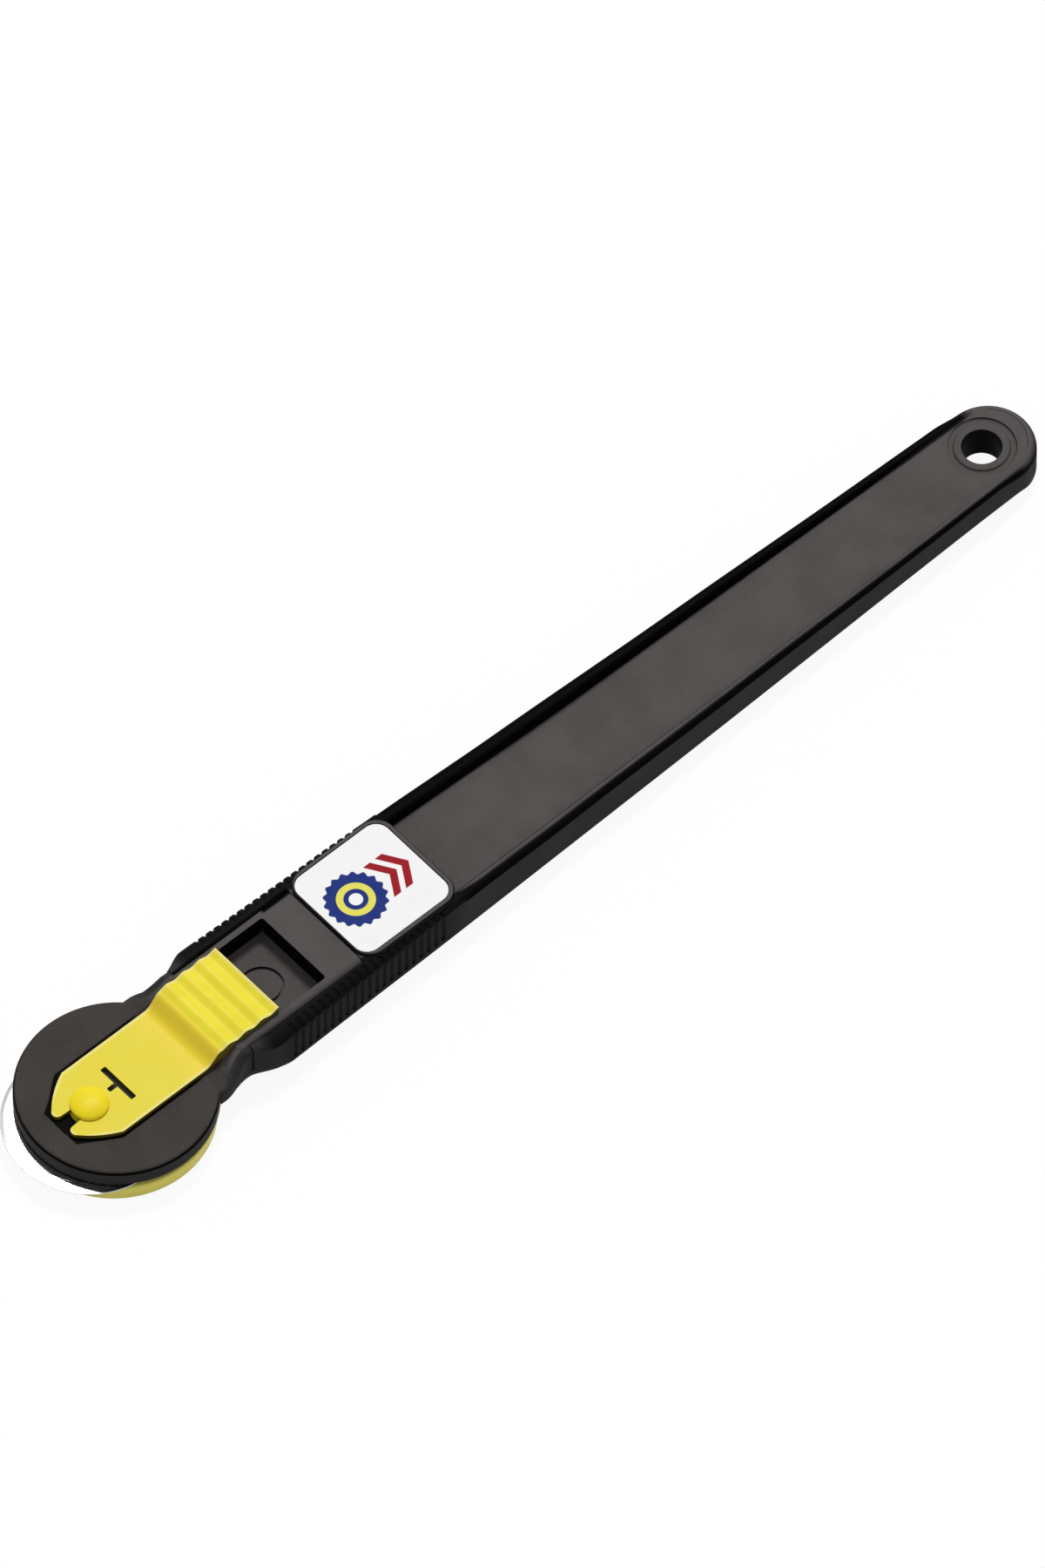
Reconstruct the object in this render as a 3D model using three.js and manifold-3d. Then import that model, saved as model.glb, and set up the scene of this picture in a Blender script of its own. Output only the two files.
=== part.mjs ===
// A small rotary cutter for hobby and sewing work. It lies flat with its blade level.
// X runs from the blade to the tail, Y is across, Z is up and zero is the surface it lies on.
// All lengths are in millimetres, and x is measured from the centre of the round head.
import * as THREE from 'three';
import { mergeVertices } from 'three/addons/utils/BufferGeometryUtils.js';
import Module from 'manifold-3d';

// Blade
const bladeDiameter = 18;
const bladeThickness = 0.3;
const bladeGrindWidth = 1.3;
const bladeEdgeThickness = 0.06;
const hexAcrossFlats = 4.3;

// Round head, the arm behind it and the tang under the label pad
const headDiameter = 20.9;
const headThickness = 2;
const headEdgeRadius = 0.45;
const axleForward = 3.65;
const armWidth = 11.6;
const armRise = 1.5;
const armRampLength = 1.9;
const armRampLead = 0.75;
const tangWidth = 8;
const tangLength = 8;
const tangThickness = 1.8;

// Pocket in the arm, with the ring that a moulding pin leaves on its floor
const pocketSideGap = 0.15;
const pocketDrop = 1.1;
const pocketSpare = 0.2;
const pinMarkRadius = 2.4;
const pinMarkSetback = 2.2;
const pinMarkWidth = 0.25;
const pinMarkDepth = 0.15;

// Sliding release lever
const leverWidth = 9.4;
const leverThickness = 0.5;
const leverTravel = 6.1;
const leverThumbRise = 1.8;
const leverFlatLength = 14.45;
const leverRampLength = 2.8;
const leverThumbLength = 7.7;
const leverWaveDepth = 0.32;
const leverWaveCount = 4;
const noseReach = 3.8;
const noseTaper = 4.25;
const noseBulge = 0.17;
const prongCorner = 0.6;
const mouthWidth = 2.2;
const seatRadius = 1;
const tongueWidth = 0.45;
const tongueHeight = 0.7;
const tongueLift = 0.6;
const tongueSetback = 2.4;
const slotWidth = 0.45;
const slotBarLength = 4.5;
const slotStubLength = 0.85;
const slotBehindAxle = 3.8;

// Axle hub
const hubNeckRadius = 0.75;
const hubDomeRadius = 2;
const hubDomeHeight = 0.75;
const hubJournalRadius = 2.05;
const hubCollarRadius = 2.9;
const hubFlangeRadius = 4.2;
const hubFlangeThickness = 0.7;
const hubFlangeSetback = 0.3;

// Blade guard and the two washers
const guardThickness = 1.95;
const guardForward = 0.4;
const guardEdgeRadius = 0.55;
const washerOuterRadius = 4.1;
const washerThickness = 0.3;
const springSheet = 0.15;
const springWave = 0.08;
const springWaveCount = 3;

// Handle
const neckRun = 2.05;
const neckFlare = 3.5;
const neckFillet = 0.75;
const neckEdgeRadius = 0.8;
const ribbedLength = 22;
const taperLength = 102.1;
const neckWidth = 13.2;
const gripWidth = 15.2;
const tailWidth = 9.9;
const baseEdge = 1;
const baseEdgeNeck = 1.9;
const baseEdgeTail = 1.5;
const flankInset = 1.15;
const flankDrop = 0.95;
const railInset = 0.42;
const railDrop = 0.5;
const railTopFront = 5.5;
const railTopRear = 4.25;
const railSettle = 26;
const railBandFront = 1.55;
const railBandRear = 0.9;
const floorTopFront = 4.1;
const floorTopRear = 3.45;
const floorRise = 8;
const floorRiseSetback = 5;
const floorEdgeRadius = 0.4;
const ribPitch = 1.016;
const ribLead = 1.3;
const ribDepth = 0.3;
const ribGroove = 0.45;
const ribFoot = 1.3;

// Label pad and label
const padSetback = 11.95;
const padLength = 12.95;
const padWidth = 12.9;
const padRise = 0.4;
const padCorner = 2.2;
const labelLength = 12.1;
const labelWidth = 11.75;
const labelCorner = 1.7;
const labelThickness = 0.12;

// Hang hole
const hangHoleRadius = 2.15;
const hangHoleForward = 0.7;
const hangBossWidth = 1.2;
const hangBossTop = 4.05;

// Screws that hold the arm in the handle
const screwShankRadius = 0.85;
const screwShankLength = 2.7;
const screwHeadRadius = 1.9;
const screwHeadThickness = 0.9;
const screwHeadSetback = 0.3;
const screwRecessDepth = 0.5;
const screwRecessWidth = 0.5;

// Clearances and the overrun that every cut gets
const slideGap = 0.05;
const runGap = 0.07;
const seatGap = 0.1;
const nestGap = 0.15;
const overrun = 1;

// Shares that shape the curves
const rootShare = 0.5;
const tangScrewShare = 0.55;
const crossShare = 0.72;
const domeRimShare = 0.2;

// Heights, from the surface up
const headRadius = headDiameter / 2;
const bladeBottom = guardThickness + 2 * slideGap;
const bladeTop = bladeBottom + bladeThickness;
const headBottom = bladeTop + slideGap;
const headTop = headBottom + headThickness;
const leverBottom = headTop + slideGap;
const leverTop = leverBottom + leverThickness;
const domeBottom = leverTop + slideGap;
const pocketFloor = headTop - pocketDrop;
const armTop = headTop + armRise;
const padTop = armTop + padRise;
const channelFloor = headBottom - slideGap;
const flangeTop = hubFlangeSetback + hubFlangeThickness;
const collarTop = guardThickness + slideGap;

// Places along the tool
const axleX = -axleForward;
const leverTipX = axleX - noseReach;
const leverRampX = leverTipX + leverFlatLength;
const leverThumbX = leverRampX + leverRampLength;
const leverRearX = leverThumbX + leverThumbLength;
const pocketFrontX = leverThumbX - slideGap;
const rampX = headRadius - armRampLead;
const rampTopX = rampX + armRampLength;
const tongueFrontX = leverThumbX + tongueSetback;
const pocketRearX = leverRearX + leverTravel + pocketSpare;
const neckEndX = headRadius + neckRun;
const gripFrontX = neckEndX + neckFlare;
const tailX = gripFrontX + taperLength;
const flankStartX = neckEndX + seatGap;
const padFrontX = gripFrontX + padSetback;
const padRearX = padFrontX + padLength;
const armRearX = padFrontX - seatGap;
const hangHoleX = tailX - hangHoleForward;
const frontX = -Math.max(axleForward + bladeDiameter / 2, headRadius);
const rearX = tailX + tailWidth / 2;
const filletHalf = neckWidth / 2 + neckFillet;
const filletX = Math.sqrt(headRadius ** 2 - filletHalf ** 2);
const bodyStartX = filletX - seatGap;

const bladeSides = 96;
const roundSides = 48;
const smallSides = 24;

const wasm = await Module();
wasm.setup();

const blackPlastic = () => new THREE.MeshStandardMaterial({ color: 0x2b2a2a, roughness: 0.45, metalness: 0 });
const yellowPlastic = () => new THREE.MeshStandardMaterial({ color: 0xe9d832, roughness: 0.4, metalness: 0 });
const brightSteel = () => new THREE.MeshStandardMaterial({ color: 0xc9cacb, roughness: 0.3, metalness: 1 });
const whiteLabel = () => new THREE.MeshStandardMaterial({ color: 0xf4f4f4, roughness: 0.5, metalness: 0 });

// Joins shared corners, drops flat triangles and turns every face outwards.
function closedFaces(geometry) {
  const bare = geometry.clone();
  bare.deleteAttribute('normal');
  bare.deleteAttribute('uv');
  const merged = mergeVertices(bare);
  const places = merged.attributes.position;
  const [a, b, c] = [new THREE.Vector3(), new THREE.Vector3(), new THREE.Vector3()];
  const faces = [];
  let volume = 0;
  for (let i = 0; i < merged.index.count; i += 3) {
    const corners = [0, 1, 2].map((k) => merged.index.getX(i + k));
    if (new Set(corners).size === 3) {
      faces.push(corners);
      [a, b, c].forEach((point, k) => point.fromBufferAttribute(places, corners[k]));
      volume += a.dot(b.cross(c));
    }
  }
  const outward = volume > 0 ? faces : faces.map(([p, q, r]) => [p, r, q]);
  return { places: places.array, corners: outward.flat() };
}

function solid(geometry) {
  const { places, corners } = closedFaces(geometry);
  const mesh = new wasm.Mesh({
    numProp: 3,
    vertProperties: new Float32Array(places),
    triVerts: new Uint32Array(corners),
  });
  return new wasm.Manifold(mesh);
}

function join(first, ...others) {
  return others.reduce((whole, other) => whole.add(other), first);
}

function cut(first, ...others) {
  return others.reduce((whole, other) => whole.subtract(other), first);
}

function namedMesh(name, shape, material) {
  const { vertProperties, triVerts } = shape.getMesh();
  const geometry = new THREE.BufferGeometry();
  geometry.setAttribute('position', new THREE.BufferAttribute(new Float32Array(vertProperties), 3));
  geometry.setIndex(new THREE.BufferAttribute(new Uint32Array(triVerts), 1));
  geometry.computeVertexNormals();
  const mesh = new THREE.Mesh(geometry, material);
  mesh.name = name;
  return mesh;
}

// A turned solid about an upright axis at x. The profile is [radius, height] pairs.
function turned(profile, x, sides = roundSides) {
  const points = profile.map(([radius, height]) => new THREE.Vector2(radius, height));
  return solid(new THREE.LatheGeometry(points, sides).rotateX(Math.PI / 2).translate(x, 0, 0));
}

function drum(radius, low, high, x, sides = roundSides) {
  return turned([[0, low], [radius, low], [radius, high], [0, high]], x, sides);
}

function block(lowX, highX, width, lowZ, highZ) {
  const box = new THREE.BoxGeometry(highX - lowX, width, highZ - lowZ);
  return solid(box.translate((lowX + highX) / 2, 0, (lowZ + highZ) / 2));
}

// A plan outline raised from one height to another.
function raised(shape, low, high) {
  const depth = high - low;
  const geometry = new THREE.ExtrudeGeometry(shape, { depth, bevelEnabled: false, curveSegments: 6 });
  return solid(geometry.translate(0, 0, low));
}

// A side outline of [x, z] points, as wide as stated, centred on the middle plane.
function acrossWidth(points, width) {
  const shape = new THREE.Shape(points.map(([x, z]) => new THREE.Vector2(x, z)));
  const geometry = new THREE.ExtrudeGeometry(shape, { depth: width, bevelEnabled: false });
  return solid(geometry.rotateX(Math.PI / 2).translate(0, width / 2, 0));
}

function planShape(points) {
  return new THREE.Shape(points.map(([x, y]) => new THREE.Vector2(x, y)));
}

function roundedRectangle(centreX, length, width, corner) {
  const [halfLength, halfWidth] = [length / 2, width / 2];
  const shape = new THREE.Shape();
  shape.moveTo(centreX - halfLength + corner, -halfWidth);
  shape.lineTo(centreX + halfLength - corner, -halfWidth);
  shape.absarc(centreX + halfLength - corner, corner - halfWidth, corner, -Math.PI / 2, 0);
  shape.absarc(centreX + halfLength - corner, halfWidth - corner, corner, 0, Math.PI / 2);
  shape.absarc(centreX - halfLength + corner, halfWidth - corner, corner, Math.PI / 2, Math.PI);
  shape.absarc(centreX - halfLength + corner, corner - halfWidth, corner, Math.PI, Math.PI * 1.5);
  return shape;
}

function hexagon(acrossFlats, x) {
  const radius = acrossFlats / 2 / Math.cos(Math.PI / 6);
  return Array.from({ length: 6 }, (_, i) => [
    x + radius * Math.cos((i * Math.PI) / 3),
    radius * Math.sin((i * Math.PI) / 3),
  ]);
}

// A smooth run through [x, value] stops.
function along(stops, x) {
  const next = stops.findIndex(([place]) => x <= place);
  if (next === 0) return stops[0][1];
  if (next < 0) return stops.at(-1)[1];
  const [[lowX, low], [highX, high]] = [stops[next - 1], stops[next]];
  return THREE.MathUtils.lerp(low, high, THREE.MathUtils.smoothstep(x, lowX, highX));
}

// Stacked plan rings make a closed skin. Each ring starts at the front on the near side, goes round
// the tail and comes back on the far side, so its two halves face each other across the middle.
function ringStack(rings) {
  const count = rings[0].length;
  const corners = [];
  for (let ring = 0; ring + 1 < rings.length; ring += 1) {
    for (let i = 0; i < count; i += 1) {
      const next = (i + 1) % count;
      const [low, high] = [ring * count, (ring + 1) * count];
      corners.push(low + i, low + next, high + next, low + i, high + next, high + i);
    }
  }
  const top = (rings.length - 1) * count;
  for (let i = 0; i + 1 < count / 2; i += 1) {
    const [a, b, c, d] = [i, i + 1, count - 2 - i, count - 1 - i];
    corners.push(top + a, top + b, top + c, top + a, top + c, top + d);
    corners.push(a, c, b, a, d, c);
  }
  const geometry = new THREE.BufferGeometry();
  geometry.setAttribute('position', new THREE.Float32BufferAttribute(rings.flat(2), 3));
  geometry.setIndex(corners);
  return solid(geometry);
}

// Handle sizes that change along its length
const widthStops = [
  [filletX, filletHalf],
  [rampTopX, neckWidth / 2],
  [neckEndX, neckWidth / 2],
  [gripFrontX, gripWidth / 2],
];
const topStops = [
  [padRearX - seatGap, armTop],
  [padRearX, railTopFront],
  [padRearX + railSettle, railTopRear],
];
const insetStops = [
  [flankStartX, neckEdgeRadius],
  [gripFrontX, flankInset],
  [padFrontX, flankInset],
  [padRearX, railInset],
];
const dropStops = [
  [flankStartX, neckEdgeRadius],
  [gripFrontX, flankDrop],
  [padFrontX, flankDrop],
  [padRearX, railDrop],
];
const baseStops = [
  [neckEndX, baseEdgeNeck],
  [gripFrontX, baseEdge],
  [padRearX + railSettle, baseEdge],
  [tailX, baseEdgeTail],
];
const bandStops = [
  [padRearX, railBandFront],
  [tailX, railBandRear],
];
const floorStops = [
  [padRearX, floorTopFront],
  [padRearX + railSettle, floorTopRear],
  [tailX - floorRiseSetback, floorTopRear],
  [tailX - floorRiseSetback + floorRise, railTopRear],
];

function halfWidthAt(x) {
  if (x <= gripFrontX) return along(widthStops, x);
  const share = Math.min((x - gripFrontX) / taperLength, 1);
  return THREE.MathUtils.lerp(gripWidth / 2, tailWidth / 2, share);
}

// Places where the handle is measured: evenly spread within each run of its length.
function stations(runs) {
  return runs.flatMap(([low, high, steps]) =>
    Array.from({ length: steps }, (_, i) => THREE.MathUtils.lerp(low, high, i / steps)));
}

// One ring: the outline drawn in by inset(x), at the height that height(x) gives.
function outlineRing(places, inset, height, tailSteps) {
  const near = places.map((x) => [x, inset(x) - halfWidthAt(x), height(x)]);
  const turn = Array.from({ length: tailSteps + 1 }, (_, i) => {
    const angle = Math.PI * (i / tailSteps - 0.5);
    const x = tailX + (tailWidth / 2) * Math.cos(angle);
    const radius = tailWidth / 2 - inset(x);
    return [tailX + radius * Math.cos(angle), radius * Math.sin(angle), height(x)];
  });
  const far = places.map((x) => [x, halfWidthAt(x) - inset(x), height(x)]).reverse();
  return [...near, ...turn, ...far];
}

function quarter(steps) {
  return Array.from({ length: steps + 1 }, (_, i) => (i / steps) * (Math.PI / 2));
}

function handleOutside() {
  const places = stations([
    [bodyStartX, rampTopX, 5], [rampTopX, neckEndX, 1],
    [neckEndX, gripFrontX, 6], [gripFrontX, padFrontX, 2], [padFrontX, padRearX, 4],
    [padRearX, padRearX + railSettle, 6], [padRearX + railSettle, tailX, 8],
  ]);
  const top = (x) => along(topStops, x);
  const base = quarter(2).map((angle) => [
    (x) => along(baseStops, x) * (1 - Math.sin(angle)),
    (x) => along(baseStops, x) * (1 - Math.cos(angle)),
  ]);
  const crest = quarter(3).map((angle) => [
    (x) => along(insetStops, x) * (1 - Math.cos(angle)),
    (x) => top(x) - along(dropStops, x) * (1 - Math.sin(angle)),
  ]);
  return ringStack([...base, ...crest].map(([inset, height]) => outlineRing(places, inset, height, 12)));
}

// The trough behind the pad: a flat floor, rounded into side rails.
function troughCut() {
  const places = stations([
    [padRearX, padRearX + railSettle, 6], [padRearX + railSettle, tailX - floorRiseSetback, 6],
    [tailX - floorRiseSetback, tailX, 4],
  ]);
  const band = (x) => along(bandStops, x);
  const floor = (x) => along(floorStops, x);
  const rail = (x) => Math.max(along(topStops, x), floor(x));
  const crest = (x) => (band(x) + railInset) / 2;
  const halfWall = (x) => (rail(x) - floor(x)) / 2;
  const foot = quarter(2).map((angle) => [
    (x) => band(x) + floorEdgeRadius * (1 - Math.sin(angle)),
    (x) => floor(x) + Math.min(floorEdgeRadius, halfWall(x)) * (1 - Math.cos(angle)),
  ]);
  const bead = quarter(2).map((angle) => [
    (x) => THREE.MathUtils.lerp(crest(x), band(x), Math.cos(angle)),
    (x) => rail(x) - Math.min(railDrop, halfWall(x)) * (1 - Math.sin(angle)),
  ]);
  const rings = [...foot, ...bead, [crest, (x) => rail(x) + overrun]];
  return ringStack(rings.map(([inset, height]) => outlineRing(places, inset, height, 12)));
}

// One groove between two grip ribs, cut square into the flank on both sides.
function ribGrooveAt(x) {
  const half = halfWidthAt(x);
  const [inset, drop, top] = [insetStops, dropStops, topStops].map((stops) => along(stops, x));
  const curve = quarter(3).map((angle) => [
    half - inset * (1 - Math.cos(angle)) - ribDepth * Math.cos(angle),
    top - drop * (1 - Math.sin(angle)) - ribDepth * Math.sin(angle),
  ]);
  const outline = [
    [half + overrun, ribFoot], [half - ribDepth, ribFoot], ...curve,
    [half - inset, top + overrun], [half + overrun, top + overrun],
  ];
  return [1, -1].map((side) => {
    const shape = new THREE.Shape(outline.map(([y, z]) => new THREE.Vector2(side * y, z)));
    const bar = new THREE.ExtrudeGeometry(shape, { depth: ribGroove, bevelEnabled: false });
    bar.rotateX(Math.PI / 2).rotateZ(Math.PI / 2);
    return solid(bar.translate(x - ribGroove / 2, 0, 0));
  });
}

function ribGrooves() {
  const first = gripFrontX + ribLead;
  const count = Math.floor((ribbedLength - ribLead) / ribPitch) + 1;
  return Array.from({ length: count }, (_, i) => ribGrooveAt(first + i * ribPitch)).flat();
}

const screwPlaces = {
  frame_screw_front: (pocketRearX + armRearX) / 2,
  frame_screw_rear: padFrontX + tangLength * tangScrewShare,
};
const screwHeadTop = screwHeadSetback + screwHeadThickness;

function handleBody() {
  const padX = (padFrontX + padRearX) / 2;
  const pad = raised(roundedRectangle(padX, padLength, padWidth, padCorner), floorTopFront, padTop);
  const bossRadius = hangHoleRadius + hangBossWidth;
  const shell = join(
    cut(handleOutside(), troughCut(), ...ribGrooves()),
    pad,
    drum(bossRadius, floorTopRear - baseEdge, hangBossTop, hangHoleX, smallSides),
  );
  const screwHoles = Object.values(screwPlaces).flatMap((x) => [
    drum(screwShankRadius + seatGap, 0, padTop, x, smallSides),
    drum(screwHeadRadius + seatGap, -overrun, screwHeadTop + slideGap, x, smallSides),
  ]);
  const lowPart = block(flankStartX, padRearX, gripWidth, -overrun, headTop);
  const holes = join(...screwHoles).intersect(lowPart);
  return cut(
    shell,
    drum(headRadius + nestGap, -overrun, armTop + overrun, 0),
    block(0, flankStartX, gripWidth + overrun, channelFloor, armTop + overrun),
    block(flankStartX - slideGap, padFrontX, armWidth + 2 * seatGap, channelFloor, armTop + overrun),
    block(padFrontX - slideGap, padFrontX + tangLength + seatGap, tangWidth + 2 * seatGap,
      channelFloor, headBottom + tangThickness + seatGap),
    raised(roundedRectangle(padX, labelLength + 2 * seatGap, labelWidth + 2 * seatGap, labelCorner + seatGap),
      padTop - labelThickness - slideGap, padTop + overrun),
    drum(hangHoleRadius, -overrun, armTop, hangHoleX, smallSides),
    holes,
  );
}

// A round plate with a rounded edge above and below.
function roundPlate(radius, low, high, lowEdge, highEdge, x) {
  const under = quarter(2).map((angle) => [
    radius - lowEdge * (1 - Math.sin(angle)), low + lowEdge * (1 - Math.cos(angle)),
  ]);
  const over = quarter(2).map((angle) => [
    radius - highEdge * (1 - Math.cos(angle)), high - highEdge * (1 - Math.sin(angle)),
  ]);
  return turned([[0, low], ...under, ...over, [0, high]], x);
}

// The web that joins the round head to the arm, with the same sides as the handle beneath it.
function headNeck() {
  const places = [...stations([[bodyStartX, rampX, 4], [rampX, rampTopX, 2]]), rampTopX, neckEndX];
  const climb = (x) => THREE.MathUtils.clamp((x - rampX) / armRampLength, 0, 1);
  const top = (x) => THREE.MathUtils.lerp(headTop, armTop, climb(x));
  const edge = quarter(2).map((angle) => [
    neckEdgeRadius * (1 - Math.cos(angle)), (x) => top(x) - neckEdgeRadius * (1 - Math.sin(angle)),
  ]);
  return ringStack([[0, () => headBottom], ...edge].map(([inset, height]) => [
    ...places.map((x) => [x, inset - halfWidthAt(x), height(x)]),
    ...places.map((x) => [x, halfWidthAt(x) - inset, height(x)]).reverse(),
  ]));
}

// The arm's side outline, from inside the head over its ramp to the back of the pocket.
function headArm() {
  return acrossWidth([
    [0, headBottom], [armRearX, headBottom], [armRearX, armTop],
    [rampTopX, armTop], [rampX, headTop], [0, headTop],
  ], armWidth);
}

// The fine ring that a moulding pin leaves on the pocket's floor.
function pinMark() {
  const inner = pinMarkRadius - pinMarkWidth;
  const [low, high] = [pocketFloor - pinMarkDepth, pocketFloor + pinMarkDepth];
  const profile = [[inner, low], [pinMarkRadius, low], [pinMarkRadius, high], [inner, high], [inner, low]];
  return turned(profile, leverRearX + pinMarkSetback, smallSides);
}

function headFrame() {
  const head = roundPlate(headRadius, headBottom, headTop, headEdgeRadius / 2, headEdgeRadius, 0);
  const tangTop = headBottom + tangThickness;
  const tang = block(armRearX - overrun, padFrontX + tangLength, tangWidth, headBottom, tangTop);
  const pocketWidth = leverWidth + 2 * pocketSideGap;
  const grooveWidth = pocketWidth + 2 * tongueWidth;
  const grooveLow = pocketFloor + tongueLift - slideGap;
  const grooveTop = grooveLow + tongueHeight + 2 * slideGap;
  const washerRecess = washerThickness + springSheet + 2 * springWave + 4 * slideGap;
  const shankTop = screwHeadTop + screwShankLength + slideGap;
  return cut(
    join(head, headNeck(), headArm(), tang),
    block(pocketFrontX, pocketRearX, pocketWidth, pocketFloor, armTop + overrun),
    block(0, pocketRearX, pocketWidth, headTop, armTop + overrun),
    block(tongueFrontX - slideGap, pocketRearX, grooveWidth, grooveLow, grooveTop),
    pinMark(),
    drum(hubJournalRadius + runGap, headBottom - overrun, headTop + overrun, axleX),
    drum(washerOuterRadius + seatGap, headBottom - overrun, headBottom + washerRecess, axleX),
    ...Object.values(screwPlaces).map((x) =>
      drum(screwShankRadius + slideGap, headBottom - overrun, shankTop, x, smallSides)),
  );
}

// The lever seen from above: a tapered nose, forked round the axle's neck. The path runs up the far
// side, round the prong's corner, in through the mouth, round the neck's seat and back.
function leverPlan() {
  const half = leverWidth / 2;
  const shoulderX = leverTipX + noseTaper;
  const entry = hubNeckRadius + slideGap;
  const [cornerX, cornerY] = [leverTipX + prongCorner, mouthWidth / 2 + prongCorner];
  const [run, rise] = [shoulderX - cornerX, half - cornerY];
  const lean = Math.atan2(rise, run) + Math.acos(prongCorner / Math.hypot(run, rise));
  const [leanX, leanY] = [Math.cos(lean), Math.sin(lean)];
  const [tangentX, tangentY] = [cornerX + prongCorner * leanX, cornerY + prongCorner * leanY];
  const pullX = (shoulderX + tangentX) / 2 + 2 * noseBulge * leanX;
  const pullY = (half + tangentY) / 2 + 2 * noseBulge * leanY;
  const turn = Math.PI - Math.asin(entry / seatRadius);
  const shape = new THREE.Shape();
  shape.moveTo(leverRearX + overrun, half);
  shape.lineTo(shoulderX, half);
  shape.quadraticCurveTo(pullX, pullY, tangentX, tangentY);
  shape.absarc(cornerX, cornerY, prongCorner, lean, Math.PI * 1.5);
  shape.lineTo(axleX - hubDomeRadius, entry);
  shape.absarc(axleX, 0, seatRadius, turn, -turn, true);
  shape.lineTo(axleX - hubDomeRadius, -entry);
  shape.absarc(cornerX, -cornerY, prongCorner, Math.PI / 2, 2 * Math.PI - lean);
  shape.quadraticCurveTo(pullX, -pullY, shoulderX, -half);
  shape.lineTo(leverRearX + overrun, -half);
  return shape;
}

function tSlot() {
  const barX = axleX + slotBehindAxle;
  const [halfBar, halfSlot] = [slotBarLength / 2, slotWidth / 2];
  return planShape([
    [barX - slotStubLength - halfSlot, -halfSlot], [barX - halfSlot, -halfSlot], [barX - halfSlot, -halfBar],
    [barX + halfSlot, -halfBar], [barX + halfSlot, halfBar], [barX - halfSlot, halfBar],
    [barX - halfSlot, halfSlot], [barX - slotStubLength - halfSlot, halfSlot],
  ]);
}

// The lever seen from the side: thin over the head, then a ramp up to a waved thumb rest.
function leverSide() {
  const thumbTop = leverTop + leverThumbRise;
  const waveSteps = 6 * leverWaveCount;
  const pitch = leverThumbLength / (leverWaveCount - rootShare);
  const waves = Array.from({ length: waveSteps + 1 }, (_, i) => {
    const run = leverThumbLength * (1 - i / waveSteps);
    const phase = (run / pitch - rootShare) * 2 * Math.PI;
    return [leverThumbX + run, thumbTop - (leverWaveDepth * (1 - Math.cos(phase))) / 2];
  });
  const rampSteps = 5;
  const ramp = Array.from({ length: rampSteps }, (_, i) => {
    const share = 1 - (i + 1) / rampSteps;
    const rise = THREE.MathUtils.smoothstep(share, 0, 1);
    return [leverRampX + leverRampLength * share, THREE.MathUtils.lerp(leverTop, waves.at(-1)[1], rise)];
  });
  return [
    [leverTipX - overrun, leverBottom], [leverThumbX, leverBottom], [leverThumbX, pocketFloor + slideGap],
    [leverRearX, pocketFloor + slideGap], ...waves, ...ramp, [leverTipX - overrun, leverTop],
  ];
}

function releaseLever() {
  const above = leverTop + leverThumbRise + overrun;
  const plate = raised(leverPlan(), 0, above).intersect(acrossWidth(leverSide(), leverWidth));
  const tongueLow = pocketFloor + tongueLift;
  const tongueSpan = leverWidth + 2 * tongueWidth;
  const tongue = block(tongueFrontX, leverRearX, tongueSpan, tongueLow, tongueLow + tongueHeight);
  return cut(join(plate, tongue), raised(tSlot(), 0, above));
}

function axleHub() {
  const rimHeight = hubDomeHeight * domeRimShare;
  const dome = quarter(4).map((angle) => [
    hubDomeRadius * Math.cos(angle),
    domeBottom + THREE.MathUtils.lerp(rimHeight, hubDomeHeight, Math.sin(angle)),
  ]);
  const turning = turned([
    [0, hubFlangeSetback], [hubFlangeRadius, hubFlangeSetback], [hubFlangeRadius, flangeTop],
    [hubCollarRadius, flangeTop], [hubCollarRadius, collarTop], [hubJournalRadius, collarTop],
    [hubJournalRadius, headTop], [hubNeckRadius, headTop], [hubNeckRadius, domeBottom],
    [hubDomeRadius, domeBottom], ...dome.slice(0, -1), [0, dome.at(-1)[1]],
  ], axleX);
  const hexBoss = raised(planShape(hexagon(hexAcrossFlats - 2 * slideGap, axleX)), flangeTop, bladeTop);
  return join(turning, hexBoss);
}

// A plain round blade, ground on both faces to a thin rim, with a hex bore.
function cuttingBlade() {
  const tip = bladeDiameter / 2;
  const grindStart = tip - bladeGrindWidth;
  const edgeLow = (bladeBottom + bladeTop - bladeEdgeThickness) / 2;
  const disc = turned([
    [0, bladeBottom], [grindStart, bladeBottom], [tip, edgeLow],
    [tip, edgeLow + bladeEdgeThickness], [grindStart, bladeTop], [0, bladeTop],
  ], axleX, bladeSides);
  const bore = planShape(hexagon(hexAcrossFlats, axleX));
  return cut(disc, raised(bore, bladeBottom - overrun, bladeTop + overrun));
}

function bladeGuard() {
  return cut(
    roundPlate(headRadius, 0, guardThickness, guardEdgeRadius, guardEdgeRadius / 2, -guardForward),
    drum(hubFlangeRadius + seatGap, -overrun, flangeTop + slideGap, axleX),
    drum(hubCollarRadius + runGap, 0, guardThickness + overrun, axleX),
  );
}

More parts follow.
